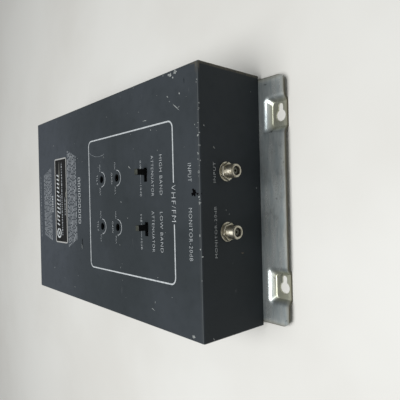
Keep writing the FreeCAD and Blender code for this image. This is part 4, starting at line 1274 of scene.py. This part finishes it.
@dataclass
class Port:
    """Threaded coaxial port: turned shell, nut and washer with broken edges."""

    name: str
    pitch: float = 25.4 / 32 * MM
    thread_radius: float = 4.75 * MM
    thread_depth: float = 0.15 * MM
    thread_start: float = 0.3 * MM
    root_radius: float = 4.2 * MM
    root_start: float = -0.2 * MM
    flange_front: float = -1.2 * MM
    flange_back: float = -3.2 * MM
    rim: float = 0.8 * MM
    ease: float = 0.25 * MM
    nut_ease: float = 0.32 * MM
    washer_ease: float = 0.16 * MM
    spin_steps: int = 48

    def profile(self, reach: float, inside: float, bore: float, flange: float) -> list[tuple[float, float]]:
        """Outline of half the shell's section, as radius and height above the case.

        Args:
            reach: Height of the rim above the case.
            inside: Depth of the shell's back below the case.
            bore: Radius of the bore.
            flange: Radius of the flange.

        Returns:
            The outline's corners in order.
        """
        crest = self.thread_radius
        valley = crest - self.thread_depth
        root = self.root_radius
        points = [(bore, reach - self.ease), (bore + self.ease, reach), (crest - 2 * self.ease, reach),
                  (crest - self.ease, reach - self.ease), (crest - self.ease, reach - self.rim)]
        height = reach - self.rim
        while height > self.thread_start:
            points += [(valley, height - 0.12 * self.pitch), (valley, height - 0.28 * self.pitch),
                       (crest, height - 0.62 * self.pitch), (crest, height - 0.78 * self.pitch)]
            height -= self.pitch
        points += [(root, self.root_start), (root, self.flange_front), (flange, self.flange_front),
                   (flange, self.flange_back), (root, self.flange_back), (root, -inside), (bore, -inside)]
        return points

    def shell(self, bore: float) -> None:
        """Replaces the CAD shell with a turned and threaded one.

        Args:
            bore: Radius of the shell's bore.
        """
        low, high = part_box(self.name + "_port_shell")
        case_low, case_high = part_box("housing")
        outward = -1 if low.y < case_low.y else 1
        face, rim, back = (case_low.y, low.y, high.y) if outward < 0 else (case_high.y, high.y, low.y)
        shape = bmesh.new()
        outline = self.profile(abs(rim - face), abs(back - face), bore, (high.x - low.x) / 2)
        verts = [shape.verts.new((radius, 0, height)) for radius, height in outline]
        edges = [shape.edges.new((verts[i], verts[(i + 1) % len(verts)])) for i in range(len(verts))]
        bmesh.ops.spin(shape, geom=verts + edges, cent=(0, 0, 0), axis=(0, 0, 1), angle=2 * math.pi,
                       steps=self.spin_steps, use_merge=True)
        bmesh.ops.remove_doubles(shape, verts=shape.verts, dist=0.002 * MM)
        place = Matrix.Translation(((low.x + high.x) / 2, face, (low.z + high.z) / 2))
        turn = Matrix.Rotation(-outward * math.pi / 2, 4, "X")
        bmesh.ops.transform(shape, matrix=place @ turn, verts=shape.verts)
        bmesh.ops.recalc_face_normals(shape, faces=shape.faces)
        piece = put_piece(self.name + "_port_threaded_shell", shape, Shade.NICKEL.material(),
                          crease=40.0)
        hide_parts(self.name + "_port_shell")

    def build(self) -> None:
        """Makes the port's pieces and dresses the CAD ones."""
        low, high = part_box(self.name + "_port_insulator")
        bore = (high.x - low.x) / 2
        self.shell(bore)
        for part, width in (("nut", self.nut_ease), ("washer", self.washer_ease)):
            node = "%s_port_%s" % (self.name, part)
            shape = merged_copy(node)
            soften(shape, width, 2, is_corner(50, 130))
            piece = put_piece(node + "_eased", shape, Shade.NICKEL.material(), crease=30.0)
            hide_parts(node)
        insulator = PortInsulator(self.name + "_insulator", (low.x + high.x) / 2, (low.z + high.z) / 2, bore)
        dress(self.name + "_port_insulator", insulator.build())
        # The contact is painted near black as the shade of the pin hole.
        dress(self.name + "_port_contact", Shade.PIN_HOLE_SHADE.material())


@dataclass
class Lever:
    """Moulded lever of a slide switch."""

    band: str
    ease: float = 0.3 * MM
    segments: int = 3

    def build(self) -> None:
        """Replaces the CAD lever with an eased one."""
        node = self.band + "_attenuator_lever"
        shape = merged_copy(node)
        soften(shape, self.ease, self.segments, is_corner(30, 130))
        finish = LeverPlastic(self.band + "_lever_plastic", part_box(node)[1].z).build()
        body = self.band + "_lever"
        piece = put_piece(node + "_moulded", shape, finish, body, crease=40.0)
        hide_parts(node)


@dataclass
class Fasteners:
    """Screws with domed heads."""

    nodes: Sequence[str] = ("case_screws", "post_screws")
    dome: float = 0.7 * MM
    segments: int = 3
    margin: float = 0.1 * MM

    def rims(self, bottom: float) -> Callable[[Edge], bool]:
        """Test for the lower rims of the heads.

        Args:
            bottom: Height of the heads' undersides.

        Returns:
            The test.
        """
        square = is_corner(60, 120)
        return lambda edge: (square(edge) and edge.calc_length() > self.margin
                             and min(vert.co.z for vert in edge.verts) < bottom + self.margin)

    def build(self) -> None:
        """Replaces the screws that show from below."""
        for node in self.nodes:
            shape = merged_copy(node)
            soften(shape, self.dome, self.segments, self.rims(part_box(node)[0].z))
            piece = put_piece(node + "_domed", shape, Shade.ZINC.material())
            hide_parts(node)


@dataclass
class Interior:
    """Finishes of the pieces inside the case and of the small ones that need no new shape."""

    shades: dict[str, Shade] = field(default_factory=lambda: {
        "contact_metal": Shade.BRASS,
        # Painted shade: the tinned switch housings take the dark iron finish so the lever slots show dark.
        "switch_housing": Shade.IRON,
        "trimmer_plastic": Shade.DARK_PLASTIC,
        "rotor_plastic": Shade.DARK_PLASTIC,
        "board_laminate": Shade.LAMINATE,
        "screw_zinc": Shade.ZINC,
        "tinned_steel": Shade.TIN,
        "component_black": Shade.DARK_PLASTIC,
        "copper_wire": Shade.COPPER,
        "core_iron": Shade.IRON,
        "fuse_glass": Shade.TIN,
        "bushing_nylon": Shade.DARK_PLASTIC,
        "capacitor_sleeve": Shade.SLEEVE,
        "lead_insulation": Shade.LEAD,
        "label_metal": Shade.ALUMINIUM,
    })

    def build(self) -> None:
        """Dresses every node whose slot has a shared finish."""
        for row in frame["record"]["subparts"]:
            shade = self.shades.get(row["material_slot"])
            if shade:
                dress(row["node"], shade.material())


@dataclass
class Case:
    """Painted case."""

    def build(self) -> None:
        """Dresses the CAD housing."""
        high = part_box("housing")[1]
        dress("housing", CasePaint(high.x, high.y, high.z).build())


# ---------------------------------------------------------------- studio


@dataclass
class Studio:
    """Pale floor, soft light, and the camera."""

    eye: tuple[float, float, float] = (1.24 * MM, -338.0 * MM, 239.9 * MM)
    elevation: float = 41.45
    azimuth: float = -0.07
    roll: float = -91.29
    lens: float = 37.17
    sensor: float = 36.0
    near_clip: float = 0.01
    table_half: float = 1.6
    table_spot: tuple[float, float, float] = (0.0, 0.3, -0.05 * MM)
    table_pale: Colour = srgb(226, 226, 222)
    table_shaded: Colour = srgb(218, 217, 212)
    table_speck: Colour = srgb(140, 134, 122)
    table_roughness: float = 0.55
    lamp_power: float = 12.2
    lamp_side: float = 0.8
    lamp_spot: tuple[float, float, float] = (-0.15, -0.13, 1.04)
    lamp_aim: tuple[float, float, float] = (-0.05, -0.1, 0.0)
    room_colour: Colour = (0.93, 0.94, 0.93)
    room_strength: float = 0.2

    def table_finish(self) -> bpy.types.Material:
        """Makes the table's pale, faintly specked finish."""
        graph = Graph("table_top")
        cloud = graph.spread(graph.noise(4.0, 4.0), 0.35, 0.7)
        tone = graph.blend(cloud, self.table_pale, self.table_shaded)
        specks = graph.spread(graph.cells(75.0), 0.03, 0.06, 1.0, 0.0)
        specks = graph.calc("MULTIPLY", specks, graph.spread(graph.noise(23.0), 0.62, 0.68))
        tone = graph.blend(graph.calc("MULTIPLY", specks, 0.45), tone, self.table_speck)
        return graph.finish(tone, self.table_roughness)

    def floor(self) -> None:
        """Makes the table top."""
        shape = bmesh.new()
        bmesh.ops.create_grid(shape, x_segments=8, y_segments=8, size=self.table_half)
        bmesh.ops.translate(shape, verts=shape.verts, vec=self.table_spot)
        mesh = bpy.data.meshes.new("table_top")
        shape.to_mesh(mesh)
        shape.free()
        mesh.materials.append(self.table_finish())
        floor = bpy.data.objects.new("table_top", mesh)
        bpy.context.scene.collection.objects.link(floor)

    def lamp(self) -> None:
        """Hangs one square soft light over the case."""
        light = bpy.data.lights.new("overhead", "AREA")
        light.energy = self.lamp_power
        light.shape = "SQUARE"
        light.size = self.lamp_side
        holder = bpy.data.objects.new("overhead", light)
        spot = Vector(self.lamp_spot)
        holder.location = spot
        holder.rotation_euler = (Vector(self.lamp_aim) - spot).to_track_quat("-Z", "Y").to_euler()
        bpy.context.scene.collection.objects.link(holder)

    def room(self) -> None:
        """Fills the shadows with an even, faint light from all round."""
        world = bpy.data.worlds.new("soft_room")
        world.use_nodes = True
        background = world.node_tree.nodes["Background"]
        background.inputs["Color"].default_value = (*self.room_colour, 1.0)
        background.inputs["Strength"].default_value = self.room_strength
        bpy.context.scene.world = world

    def camera(self) -> None:
        """Makes the camera."""
        data = bpy.data.cameras.new("camera")
        data.lens = self.lens
        data.sensor_width = self.sensor
        data.clip_start = self.near_clip
        holder = bpy.data.objects.new("camera", data)
        turn = Matrix.Rotation(math.radians(self.azimuth), 4, "Z")
        tip = Matrix.Rotation(math.radians(90 - self.elevation), 4, "X")
        roll = Matrix.Rotation(math.radians(self.roll), 4, "Z")
        holder.matrix_world = Matrix.Translation(self.eye) @ turn @ tip @ roll
        bpy.context.scene.collection.objects.link(holder)
        bpy.context.scene.camera = holder

    def build(self) -> None:
        """Sets the stage."""
        self.floor()
        self.lamp()
        self.room()
        bpy.context.scene.view_settings.view_transform = "Standard"
        self.camera()


def main() -> None:
    """Builds every sub-assembly in order and reports it."""
    logging.basicConfig(level=logging.INFO, format="%(name)s: %(message)s")
    faces = CaseFaces()
    notes = BlankNotes(faces)
    assemblies = (
        Studio(), Interior(), Case(), BackPlate(), PanelPrint(faces), notes, NameLabel(faces, notes),
        Wear(faces), Port("input"), Port("monitor"), Port("output"), Lever("high"), Lever("low"), Fasteners(),
    )
    for assembly in assemblies:
        assembly.build()
        LOG.info("built %s", type(assembly).__name__)


if __name__ == "__main__":
    main()
